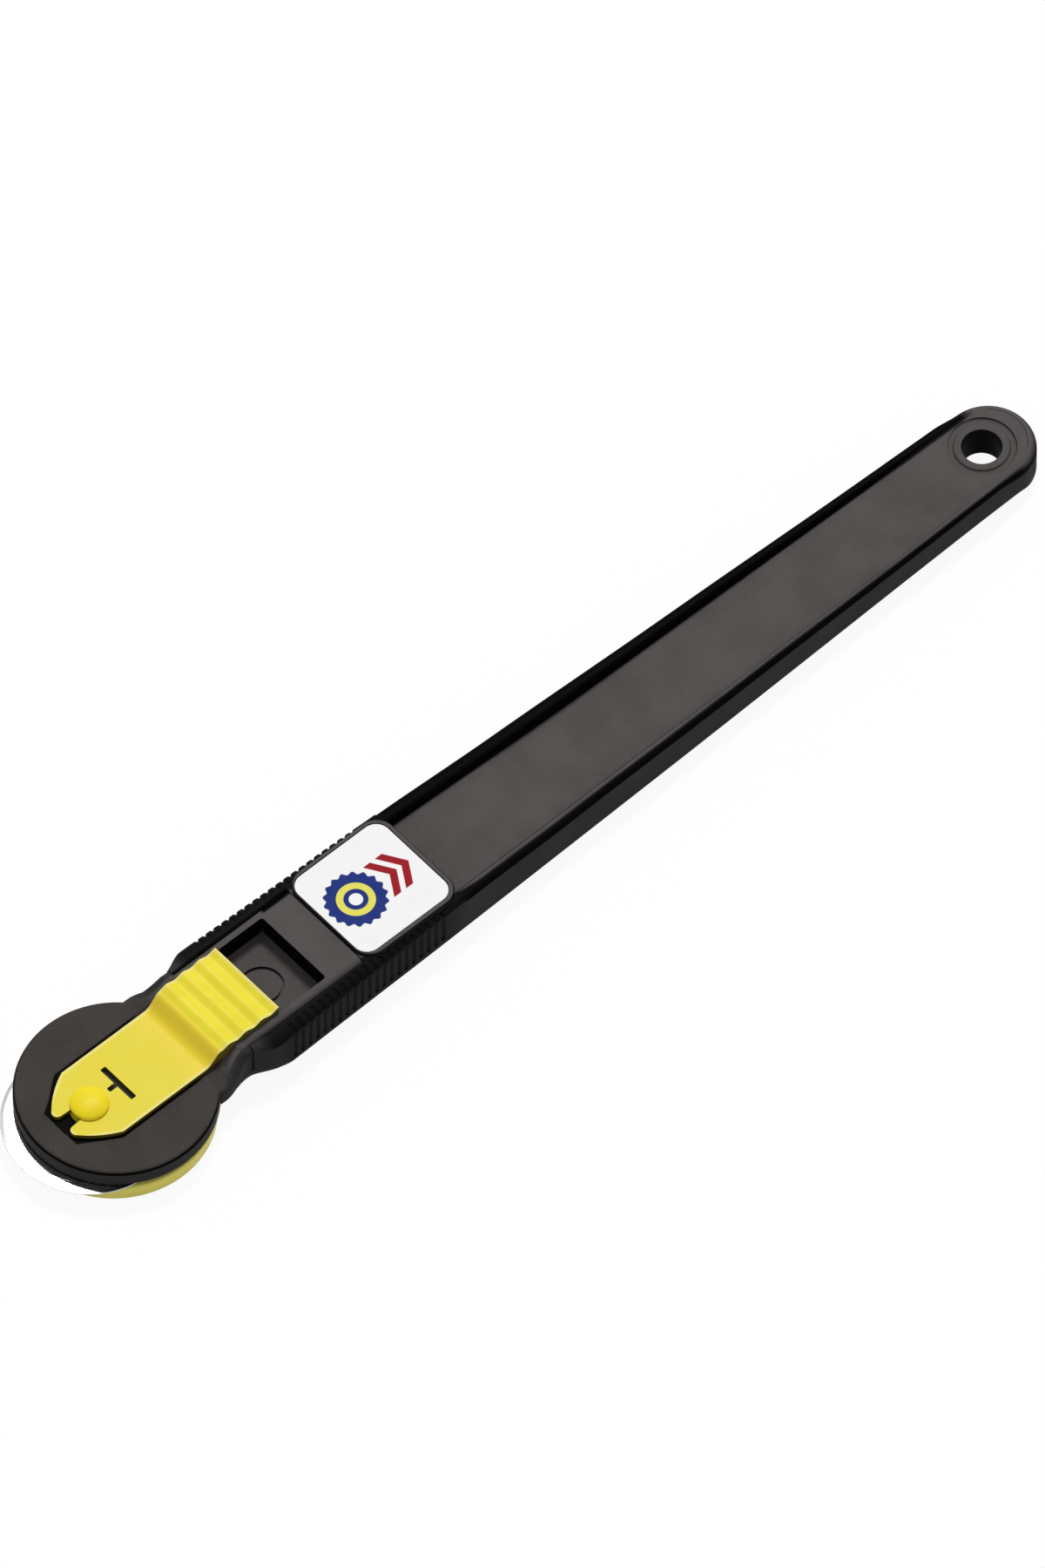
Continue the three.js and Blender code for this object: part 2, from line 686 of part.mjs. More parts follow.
// A flat ring, or a waved one where wave is above zero.
function ring(inner, outer, low, thickness, wave, waveCount, sides) {
  const places = [];
  const corners = [];
  const section = [[inner, 0], [outer, 0], [outer, thickness], [inner, thickness]];
  for (let i = 0; i < sides; i += 1) {
    const angle = (i / sides) * 2 * Math.PI;
    const lift = low + wave * (1 + Math.cos(waveCount * angle));
    section.forEach(([radius, rise]) => {
      places.push(axleX + radius * Math.cos(angle), radius * Math.sin(angle), lift + rise);
    });
    section.forEach((_, k) => {
      const [a, b] = [4 * i + k, 4 * i + ((k + 1) % 4)];
      const [c, d] = [(a + 4) % (4 * sides), (b + 4) % (4 * sides)];
      corners.push(a, c, b, b, c, d);
    });
  }
  const geometry = new THREE.BufferGeometry();
  geometry.setAttribute('position', new THREE.Float32BufferAttribute(places, 3));
  geometry.setIndex(corners);
  return solid(geometry);
}

const washerInner = hubJournalRadius + seatGap;
const washerLow = headBottom + slideGap;

function thrustWasher() {
  return ring(washerInner, washerOuterRadius, washerLow, washerThickness, 0, 1, roundSides);
}

function springWasher() {
  const low = washerLow + washerThickness + slideGap;
  const outer = washerOuterRadius - seatGap;
  return ring(washerInner, outer, low, springSheet, springWave, springWaveCount, roundSides);
}

function frameScrew(x) {
  const shankTop = screwHeadTop + screwShankLength;
  const body = turned([
    [0, screwHeadSetback], [screwHeadRadius, screwHeadSetback], [screwHeadRadius, screwHeadTop],
    [screwShankRadius, screwHeadTop], [screwShankRadius, shankTop - screwShankRadius / 2],
    [screwShankRadius / 2, shankTop], [0, shankTop],
  ], x, smallSides);
  const arm = screwHeadRadius * crossShare;
  const recessTop = screwHeadSetback + screwRecessDepth;
  return cut(
    body,
    block(x - arm, x + arm, screwRecessWidth, 0, recessTop),
    block(x - screwRecessWidth / 2, x + screwRecessWidth / 2, 2 * arm, 0, recessTop),
  );
}

function labelSticker() {
  const outline = roundedRectangle((padFrontX + padRearX) / 2, labelLength, labelWidth, labelCorner);
  return raised(outline, padTop - labelThickness, padTop);
}

const cutter = new THREE.Group();
cutter.add(
  namedMesh('handle_body', handleBody(), blackPlastic()),
  namedMesh('head_frame', headFrame(), blackPlastic()),
  namedMesh('release_lever', releaseLever(), yellowPlastic()),
  namedMesh('axle_hub', axleHub(), yellowPlastic()),
  namedMesh('blade_guard', bladeGuard(), yellowPlastic()),
  namedMesh('cutting_blade', cuttingBlade(), brightSteel()),
  namedMesh('thrust_washer', thrustWasher(), brightSteel()),
  namedMesh('spring_washer', springWasher(), brightSteel()),
  namedMesh('label_sticker', labelSticker(), whiteLabel()),
);
for (const [name, x] of Object.entries(screwPlaces)) {
  cutter.add(namedMesh(name, frameScrew(x), brightSteel()));
}
cutter.position.x = -(frontX + rearX) / 2;

export default cutter;
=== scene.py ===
"""A small rotary cutter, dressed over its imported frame.

Sizes are in millimetres, with x measured from the centre of the round head, and turn into metres in
the row frame only when a mesh is made. Each sub-assembly is a class that builds its own pieces.
"""

import logging
import math
from abc import ABC, abstractmethod
from dataclasses import dataclass
from enum import Enum
from typing import Any, Sequence

import bmesh
import bpy
import numpy as np
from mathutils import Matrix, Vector


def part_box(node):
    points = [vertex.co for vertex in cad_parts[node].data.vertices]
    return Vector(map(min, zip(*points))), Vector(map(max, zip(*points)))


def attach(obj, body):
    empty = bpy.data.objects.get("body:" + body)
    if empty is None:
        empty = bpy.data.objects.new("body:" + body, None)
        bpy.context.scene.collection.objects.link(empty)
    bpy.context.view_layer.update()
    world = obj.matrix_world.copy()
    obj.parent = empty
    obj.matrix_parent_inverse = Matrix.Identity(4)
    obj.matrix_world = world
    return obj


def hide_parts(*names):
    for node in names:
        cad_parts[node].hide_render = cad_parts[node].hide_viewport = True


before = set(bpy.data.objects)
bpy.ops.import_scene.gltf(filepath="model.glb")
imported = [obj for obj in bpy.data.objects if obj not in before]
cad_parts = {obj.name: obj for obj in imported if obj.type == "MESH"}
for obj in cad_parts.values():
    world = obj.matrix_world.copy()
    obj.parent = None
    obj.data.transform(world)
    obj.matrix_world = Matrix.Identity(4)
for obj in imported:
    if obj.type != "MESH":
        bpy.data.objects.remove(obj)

log = logging.getLogger("rotary_cutter")

METRES = 0.001
AXLE_X = -3.65
HEAD_CENTRE_X = float(sum(corner.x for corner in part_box("axle_hub"))) / 2 / METRES - AXLE_X
SCREW_PLACES = (25.825, 32.35)
CORNER_STEPS = 10

Run = tuple[float, float]
Stops = Sequence[Run]
Colour = tuple[float, float, float]


class Body(Enum):
    """The bodies that pieces ride on."""

    HANDLE = "handle"
    ROTOR = "rotor"
    LEVER = "lever"


class Carve(Enum):
    """The ways in which one closed shell works on another."""

    JOIN = "UNION"
    CUT = "DIFFERENCE"
    KEEP = "INTERSECT"


# Shapes worked out on grids


def eased(x: np.ndarray, stops: Stops) -> np.ndarray:
    """Smooth runs between stops: low + (high - low) * s * s * (3 - 2 * s), s the share of the run.

    Args:
        x: Places along the tool.
        stops: (place, value) pairs in rising order.

    Returns:
        The value at each place, held level before the first stop and after the last.
    """
    places, values = np.array(stops, float).T
    run = np.clip(np.searchsorted(places, x) - 1, 0, len(places) - 2)
    share = np.clip((x - places[run]) / (places[run + 1] - places[run]), 0, 1)
    share = share * share * (3 - 2 * share)
    return values[run] + (values[run + 1] - values[run]) * share


def arc(start: float, end: float, steps: int) -> np.ndarray:
    """Angles in radians, evenly spread from start to end in degrees."""
    return np.radians(np.linspace(start, end, steps + 1))


def upper_edge(side: float, top: float, edge: float, steps: int) -> list[Run]:
    """A quarter circle over an edge: (side - e (1 - cos a), top - e (1 - sin a))."""
    return [(side - edge * (1 - math.cos(a)), top - edge * (1 - math.sin(a))) for a in arc(0, 90, steps)]


def lower_edge(side: float, bottom: float, edge: float, steps: int) -> list[Run]:
    """A quarter circle under an edge: (side - e (1 - sin a), bottom + e (1 - cos a))."""
    return [(side - edge * (1 - math.sin(a)), bottom + edge * (1 - math.cos(a))) for a in arc(0, 90, steps)]


@dataclass
class Shell:
    """A closed skin in millimetres.

    Attributes:
        places: Corner places, one row each.
        faces: Corner numbers of each face.
    """

    places: np.ndarray
    faces: list[list[int]]

    @staticmethod
    def from_grid(grid: np.ndarray, around: bool = True, caps: bool = True) -> "Shell":
        """A grid of places whose second direction closes on itself.

        Args:
            grid: Places of shape (rows, columns, 3).
            around: The columns close on themselves.
            caps: The first and last rows are filled with a flat face.

        Returns:
            The shell of quads between neighbouring rows and columns.
        """
        rows, columns = grid.shape[:2]
        numbers = np.arange(rows * columns).reshape(rows, columns)
        right = np.roll(numbers, -1, axis=1) if around else numbers[:, 1:]
        left = numbers if around else numbers[:, :-1]
        quads = np.stack([left[:-1], right[:-1], right[1:], left[1:]], axis=-1).reshape(-1, 4)
        faces = quads.tolist()
        if caps:
            faces.append(numbers[0][::-1].tolist())
            faces.append(numbers[-1].tolist())
        return Shell(grid.reshape(-1, 3), faces)

    @staticmethod
    def turned(profile: Stops, x: float, steps: int = 96) -> "Shell":
        """A profile of (radius, height) pairs carried round an upright axis: (r cos a, r sin a, z).

        Args:
            profile: Pairs from the axis out and back to it, or a loop that closes on itself.
            x: Place of the axis along the tool.
            steps: Number of steps round.

        Returns:
            The turned shell.
        """
        radius, height = np.array(profile, float).T
        angle = np.linspace(0, 2 * math.pi, steps, endpoint=False)
        grid = np.empty((len(radius), steps, 3))
        grid[..., 0] = x + radius[:, None] * np.cos(angle)
        grid[..., 1] = radius[:, None] * np.sin(angle)
        grid[..., 2] = height[:, None]
        return Shell.from_grid(grid, caps=False)

    @staticmethod
    def stacked(outline: np.ndarray, rings: Sequence[tuple[float, float]]) -> "Shell":
        """A plan outline drawn in by each ring's inset, at each ring's height, and closed flat.

        Args:
            outline: Plan places (x, y) in anticlockwise order.
            rings: (inset, height) pairs from the bottom up.

        Returns:
            The stacked shell. The inset runs along the outline's mean normal at each corner.
        """
        before, after = np.roll(outline, 1, axis=0), np.roll(outline, -1, axis=0)
        first, second = outline - before, after - outline
        first /= np.linalg.norm(first, axis=1, keepdims=True)
        second /= np.linalg.norm(second, axis=1, keepdims=True)
        inward = np.stack([-(first + second)[:, 1], (first + second)[:, 0]], axis=1)
        inward /= np.maximum((inward**2).sum(axis=1, keepdims=True) / 2, 0.2)
        inset, height = np.array(rings, float).T
        grid = np.empty((len(rings), len(outline), 3))
        grid[..., :2] = outline[None] + inset[:, None, None] * inward[None]
        grid[..., 2] = height[:, None]
        return Shell.from_grid(grid)

    @staticmethod
    def block(low: Sequence[float], high: Sequence[float]) -> "Shell":
        """A plain box between two corners."""
        outline = np.array([(low[0], low[1]), (high[0], low[1]), (high[0], high[1]), (low[0], high[1])])
        return Shell.stacked(outline, [(0, low[2]), (0, high[2])])

    def to_object(self, name: str) -> bpy.types.Object:
        """Puts the shell into a mesh object in metres, with doubles merged and faces outwards.

        Args:
            name: The object's name.

        Returns:
            The object, linked to the scene and sitting at the origin.
        """
        mesh = bpy.data.meshes.new(name)
        mesh.from_pydata(((self.places + (HEAD_CENTRE_X, 0, 0)) * METRES).tolist(), [], self.faces)
        solid = bmesh.new()
        solid.from_mesh(mesh)
        bmesh.ops.remove_doubles(solid, verts=solid.verts, dist=2e-7)
        bmesh.ops.dissolve_degenerate(solid, edges=solid.edges, dist=1e-7)
        bmesh.ops.recalc_face_normals(solid, faces=solid.faces)
        if solid.calc_volume(signed=True) < 0:
            bmesh.ops.reverse_faces(solid, faces=solid.faces)
        solid.to_mesh(mesh)
        solid.free()
        made = bpy.data.objects.new(name, mesh)
        bpy.context.scene.collection.objects.link(made)
        return made


def rounded_rectangle(low_x: float, high_x: float, width: float, corner: float) -> np.ndarray:
    """A plan rectangle about the middle plane, its corners turned in quarter circles."""
    low_y, high_y = corner - width / 2, width / 2 - corner
    turns = np.concatenate([arc(start, start + 90, CORNER_STEPS) for start in (-90, 0, 90, 180)])
    centre_x = np.repeat([high_x - corner, high_x - corner, low_x + corner, low_x + corner], CORNER_STEPS + 1)
    centre_y = np.repeat([low_y, high_y, high_y, low_y], CORNER_STEPS + 1)
    return np.stack([centre_x + corner * np.cos(turns), centre_y + corner * np.sin(turns)], axis=1)


@dataclass
class Workpiece:
    """A shell on its way to becoming a finished piece of the cutter.

    Attributes:
        shape: The mesh object that is worked on.
    """

    shape: bpy.types.Object

    @staticmethod
    def start(name: str, shell: Shell) -> "Workpiece":
        """Starts a piece from its first shell."""
        return Workpiece(shell.to_object(name))

    def carve(self, way: Carve, *tools: Shell) -> "Workpiece":
        """Works on the piece with other closed shells, one after another.

        Args:
            way: Joins, cuts or keeps what both share.
            tools: The shells to work with.

        Returns:
            The piece itself.
        """
        for tool in tools:
            other = tool.to_object("tool")
            step = self.shape.modifiers.new("carve", "BOOLEAN")
            step.operation = way.value
            step.solver = "EXACT"
            step.object = other
            graph = bpy.context.evaluated_depsgraph_get()
            carved = bpy.data.meshes.new_from_object(self.shape.evaluated_get(graph))
            self.shape.modifiers.clear()
            old, self.shape.data = self.shape.data, carved
            bpy.data.meshes.remove(old)
            bpy.data.meshes.remove(other.data)
        return self

    def finish(
        self,
        body: Body,
        nodes: Sequence[str],
        slot: str,
        material: bpy.types.Material,
        edge: float = 0,
        sharp: float = 32,
    ) -> bpy.types.Object:
        """Dresses the piece and puts it on its body.

        Args:
            body: The body that it rides on.
            nodes: The frame's nodes that it stands for.
            slot: The record's material slot; not used.
            material: Its finish.
            edge: Radius of the small rounding on its sharp edges, or 0.
            sharp: The angle in degrees past which an edge shades sharp.

        Returns:
            The finished object.
        """
        mesh = self.shape.data
        mesh.name = self.shape.name
        mesh.materials.clear()
        mesh.materials.append(material)
        mesh.shade_smooth()
        mesh.set_sharp_from_angle(angle=math.radians(sharp))
        if edge:
            rounding = self.shape.modifiers.new("edge_rounding", "BEVEL")
            rounding.width = edge * METRES
            rounding.segments = 2
            rounding.limit_method = "ANGLE"
            rounding.angle_limit = math.radians(48)
        even = self.shape.modifiers.new("even_shading", "WEIGHTED_NORMAL")
        even.keep_sharp = True
        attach(self.shape, body.value)
        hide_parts(*nodes)
        log.info("%s: %d corners, rides on %s", self.shape.name, len(mesh.vertices), body.value)
        return self.shape


# Finishes


class Signal:
    """A number socket that takes part in Python sums; each operator adds one Math node."""

    def __init__(self, graph: "Graph", socket: bpy.types.NodeSocket) -> None:
        """Wraps a socket of the graph."""
        self.graph = graph
        self.socket = socket

    def math(self, operation: str, *others: "Signal | float", first: bool = True) -> "Signal":
        """One Math node with this signal and others.

        Args:
            operation: The Math node's operation.
            others: The other operands.
            first: This signal is the first operand.

        Returns:
            The node's result.
        """
        operands = [self, *others] if first else [*others, self]
        made = self.graph.node("ShaderNodeMath", {"operation": operation}, dict(enumerate(operands)))
        return Signal(self.graph, made.outputs[0])

    def __add__(self, other: "Signal | float") -> "Signal":
        """Sum."""
        return self.math("ADD", other)

    def __sub__(self, other: "Signal | float") -> "Signal":
        """Difference."""
        return self.math("SUBTRACT", other)

    def __rsub__(self, other: float) -> "Signal":
        """Difference from a number."""
        return self.math("SUBTRACT", other, first=False)

    def __mul__(self, other: "Signal | float") -> "Signal":
        """Product."""
        return self.math("MULTIPLY", other)

    def __pow__(self, other: float) -> "Signal":
        """Power."""
        return self.math("POWER", other)

    __radd__ = __add__
    __rmul__ = __mul__

    def step(self, low: float, high: float) -> "Signal":
        """A smooth step from 0 at low to 1 at high; the other way round if low is the greater."""
        ends = {"From Min": low, "From Max": high, "To Min": 0.0, "To Max": 1.0}
        if low > high:
            ends = {"From Min": high, "From Max": low, "To Min": 1.0, "To Max": 0.0}
        settings = {"interpolation_type": "SMOOTHSTEP"}
        made = self.graph.node("ShaderNodeMapRange", settings, {"Value": self, **ends})
        return Signal(self.graph, made.outputs["Result"])


class Graph:
    """The nodes of one material or world."""

    def __init__(self, name: str) -> None:
        """Starts an empty material of that name."""
        self.material = bpy.data.materials.new(name)
        self.material.use_nodes = True
        self.tree = self.material.node_tree
        self.tree.nodes.clear()

    @staticmethod
    def of_world(world: bpy.types.World) -> "Graph":
        """A graph that works on a world's nodes."""
        graph = Graph.__new__(Graph)
        world.use_nodes = True
        graph.tree = world.node_tree
        graph.tree.nodes.clear()
        return graph

    def node(self, kind: str, settings: dict[str, Any], sockets: dict[Any, Any]) -> bpy.types.Node:
        """Adds one node.

        Args:
            kind: The node's type name.
            settings: Its own settings, set first.
            sockets: Values or links by socket name or number.

        Returns:
            The node.
        """
        made = self.tree.nodes.new(kind)
        for key, value in settings.items():
            setattr(made, key, value)
        for key, value in sockets.items():
            value = value.socket if isinstance(value, Signal) else value
            if isinstance(value, bpy.types.NodeSocket):
                self.tree.links.new(value, made.inputs[key])
            else:
                made.inputs[key].default_value = value
        return made

    def place(self, scale: Colour = (1, 1, 1), shift: Colour = (0, 0, 0)) -> bpy.types.NodeSocket:
        """Object coordinates in millimetres, less a shift, times a scale."""
        here = self.node("ShaderNodeTexCoord", {}, {}).outputs["Object"]
        size = tuple(value / METRES for value in scale)
        offset = tuple(-value * part for value, part in zip(shift, scale))
        made = self.node("ShaderNodeMapping", {}, {"Vector": here, "Location": offset, "Scale": size})
        return made.outputs["Vector"]

    def axes(self, vector: bpy.types.NodeSocket) -> tuple[Signal, Signal, Signal]:
        """The three parts of a vector."""
        parts = self.node("ShaderNodeSeparateXYZ", {}, {"Vector": vector})
        return tuple(Signal(self, part) for part in parts.outputs)

    def upright(self) -> Signal:
        """How far the surface faces up or down: the size of its normal's z part."""
        normal = self.node("ShaderNodeTexCoord", {}, {}).outputs["Normal"]
        return self.axes(normal)[2].math("ABSOLUTE")

    def noise(
        self, vector: bpy.types.NodeSocket, scale: float, detail: float = 2, rough: float = 0.5
    ) -> Signal:
        """Cloudy noise between 0 and 1; scale is in lumps a millimetre."""
        values = {"Vector": vector, "Scale": scale, "Detail": detail, "Roughness": rough}
        return Signal(self, self.node("ShaderNodeTexNoise", {}, values).outputs[0])

    def mix(self, share: Signal, low: Any, high: Any) -> bpy.types.NodeSocket:
        """A colour between two."""
        low, high = [(*c, 1) if isinstance(c, tuple) else c for c in (low, high)]
        settings = {"data_type": "RGBA", "clamp_factor": True}
        made = self.node("ShaderNodeMix", settings, {0: share, 6: low, 7: high})
        return made.outputs[2]

    def bump(self, height: Signal, depth: float, strength: float = 1) -> bpy.types.NodeSocket:
        """A normal from a height whose full rise is depth millimetres."""
        values = {"Height": height, "Distance": depth * METRES, "Strength": strength}
        return self.node("ShaderNodeBump", {}, values).outputs["Normal"]

    def surface(self, varying: dict[str, Any], constant: dict[str, Any]) -> bpy.types.Material:
        """Ends the material in one Principled shader.

        Args:
            varying: Links of the sockets that change over the surface.
            constant: Numbers set on the shader's own sockets.

        Returns:
            The material.
        """
        shader = self.node("ShaderNodeBsdfPrincipled", {}, {**varying, **constant})
        self.node("ShaderNodeOutputMaterial", {}, {"Surface": shader.outputs[0]})
        return self.material


@dataclass(frozen=True)
class GrainedPlastic(ABC):
    """Black moulded plastic coloured by how level each face is, as painted light and shade: lighter on level
    faces, darker on walls and near black on rounds, under a fine grain.

    A run, here and in the finishes below, holds the two ends of a smooth step. Its places are in
    millimetres off the head's centre.

    Attributes:
        name: The material's name.
        level: Colour of level faces, lighter by painted light.
        painted_shade_black: Near-black painted shade on rounds, on masked bands and under downward faces.
        wall: Colour of upright walls, darker by painted shade.
        worn: Colour of rubbed spots.
        slope: How level a face is where the painted light of level faces starts, and where it is full.
        grain: Grains a millimetre.
        relief: Depth of the grain in millimetres.
        shine: Strength of the mirror light.
    """

    name: str
    level: Colour = (0.096, 0.0865, 0.0855)
    painted_shade_black: Colour = (0.002, 0.0019, 0.0019)
    wall: Colour = (0.041, 0.0397, 0.0397)
    worn: Colour = (0.15, 0.14, 0.135)
    slope: Run = (0.7, 0.96)
    grain: float = 5.0
    relief: float = 0.012
    shine: float = 0.012

    @abstractmethod
    def painted_shade_mask(self, x: Signal, y: Signal, z: Signal) -> Signal:
        """Share of the near-black painted shade on level faces."""

    @abstractmethod
    def painted_light_share(self, facing: Signal, x: Signal) -> Signal:
        """Share of the painted light of level faces, from how level a face is."""

    @abstractmethod
    def walls(self, graph: Graph, x: Signal, y: Signal) -> bpy.types.NodeSocket:
        """The colour of upright walls over the plan."""

    @abstractmethod
    def rounds(self, graph: Graph, x: Signal) -> bpy.types.NodeSocket:
        """The colour of rounded edges along the tool."""

    def tinted(self, graph: Graph, x: Signal, y: Signal) -> bpy.types.NodeSocket | Colour:
        """The colour of level faces under painted light, over the plan."""
        return self.level

    def material(self) -> bpy.types.Material:
        """Builds the nodes: colour by how level the face is, which paints light and shade, then clouding,
        painted shade under downward faces, grain and rubbing.
        """
        graph = Graph(self.name)
        here = graph.place()
        x, y, z = graph.axes(graph.place(shift=(HEAD_CENTRE_X, 0, 0)))
        facing = graph.upright()
        cloud = graph.noise(here, 0.22, 3)
        grain = graph.noise(here, self.grain, 4, 0.6)
        streak = graph.noise(graph.place((0.12, 2.6, 1.0)), 1.0, 3, 0.6)
        rubbed = streak.step(0.66, 0.78) * cloud.step(0.45, 0.7) * 0.25
        # Painted light on level faces, taken back to black where the painted shade mask lies.
        level = self.painted_light_share(facing, x) * (1 - self.painted_shade_mask(x, y, z))
        # Painted shade: walls and rounds darker than level faces, by how they face.
        rounds = graph.mix(facing.step(0.08, 0.3), self.walls(graph, x, y), self.rounds(graph, x))
        colour = graph.mix(level, rounds, self.tinted(graph, x, y))
        # Painted shade: faces turned downwards go black, mixed with random clouding below.
        painted_under_shade = facing.step(-0.03, -0.25) * facing.step(-0.97, -0.85)
        darker = graph.mix(cloud.step(0.3, 0.7) * 0.16 * (1 - painted_under_shade) + painted_under_shade, colour, self.painted_shade_black)
        shade = graph.mix((grain.step(0.35, 0.7) * 0.14 + rubbed) * level, darker, self.worn)
        roughness = 0.46 + level * 0.08 + (cloud - 0.5) * 0.12 + (grain - 0.5) * 0.1 - rubbed * 0.15
        normal = graph.bump(grain * (0.25 + level * 0.75) + cloud * 1.5, self.relief)
        varying = {"Base Color": shade, "Roughness": roughness, "Normal": normal}
        return graph.surface(varying, {"Specular IOR Level": self.shine, "IOR": 1.46})


@dataclass(frozen=True)
class HandlePlastic(GrainedPlastic):
    """The handle's plastic, with painted black shade on its flanks and rails and the far rail's painted
    shadow on the trough floor.

    Attributes:
        shaded: Painted shade on the walls along the ribbed grip.
        crest: Painted shade on the rounded edges along the grip.
        band: Width of the painted black band behind the pad, and what it loses over each millimetre.
        pad_gain: Extra width of the band beside the pad.
        near_loss: What the near side's band loses behind the pad.
        far_gain: What the far side's band gains towards the tail, as the far rail's painted shadow.
        sides: From the far side to the near one.
        band_edge: How softly the band ends.
        pad_side: Heights over which the pad's side turns into its top.
        neck_run: Where the neck's rounded edges end.
        grip_run: Where the grip's walls start.
        grip_end: Where they end.
        pad_run: Along the pad from its rear to its front.
        pad_end: Where the near band narrows.
        rail_run: Where the rails' inner walls start.
        black_run: Where the rounded edges turn to black painted shade.
        rail_depth: How far inside the side an inner wall lies.
        rise_run: Where the trough's floor rises.
        tail_run: Where the tail's soft slopes start.
        tail_slope: As slope, on those slopes.
        tail_end: Where the band ends.
    """

    shaded: Colour = (0.022, 0.0212, 0.0212)
    crest: Colour = (0.008, 0.0077, 0.0077)
    band: tuple[float, float] = (1.5, 0.0065)
    pad_gain: float = 0.25
    near_loss: float = 0.55
    far_gain: float = 0.33
    sides: Run = (0.5, -0.5)
    band_edge: Run = (0.2, -0.2)
    pad_side: Run = (6.15, 6.0)
    neck_run: Run = (13.0, 15.0)
    grip_run: Run = (14.0, 17.0)
    grip_end: Run = (42.0, 38.0)
    pad_run: Run = (41.0, 28.0)
    pad_end: Run = (38.0, 44.0)
    rail_run: Run = (38.0, 41.0)
    black_run: Run = (39.0, 42.0)
    rail_depth: Run = (0.3, 0.45)
    rise_run: Run = (104.0, 112.0)
    tail_run: Run = (108.0, 111.0)
    tail_slope: Run = (0.3, 0.98)
    tail_end: Run = (119.6, 117.8)

    def depth(self, x: Signal, y: Signal) -> Signal:
        """How far a place lies inside the side: the even taper's half width - |y|."""
        lost = (Handle.grip_half - Handle.tail_radius) / (Handle.tail - Handle.grip_front)
        return Handle.grip_half - (x - Handle.grip_front) * lost - y.math("ABSOLUTE")

    def painted_shade_mask(self, x: Signal, y: Signal, z: Signal) -> Signal:
        """Painted black shade within a band from the side, under the pad's top."""
        width, loss = self.band
        near = y.step(*self.sides) * x.step(*self.pad_end) * self.near_loss
        far = y.step(*self.sides[::-1]) * x.step(*self.rise_run) * self.far_gain
        beside_pad = x.step(*self.pad_run) * self.pad_gain
        # Painted black shade in a band along each side; the far band widens towards the tail as the far
        # rail's painted shadow on the trough floor.
        band = width - (x - self.pad_run[0]) * loss + beside_pad - near + far
        inside = (self.depth(x, y) - band).step(*self.band_edge)
        return inside * z.step(*self.pad_side) * x.step(*self.tail_end)

    def painted_light_share(self, facing: Signal, x: Signal) -> Signal:
        """The painted light of level faces also covers the soft slopes at the tail."""
        tail = x.step(*self.tail_run)
        return facing.step(*self.slope) * (1 - tail) + facing.step(*self.tail_slope) * tail

    def walls(self, graph: Graph, x: Signal, y: Signal) -> bpy.types.NodeSocket:
        """Painted shade: darker walls along the ribbed grip, and black ones inside the rails."""
        outer = graph.mix(x.step(*self.grip_run) * x.step(*self.grip_end), self.wall, self.shaded)
        inner = self.depth(x, y).step(*self.rail_depth) * x.step(*self.rail_run)
        return graph.mix(inner, outer, self.painted_shade_black)

    def rounds(self, graph: Graph, x: Signal) -> bpy.types.NodeSocket:
        """Painted shade: edges as pale as the walls on the neck, darker on the grip and black from the pad
        on.
        """
        grip = graph.mix(x.step(*self.neck_run), self.wall, self.crest)
        return graph.mix(x.step(*self.black_run), grip, self.painted_shade_black)


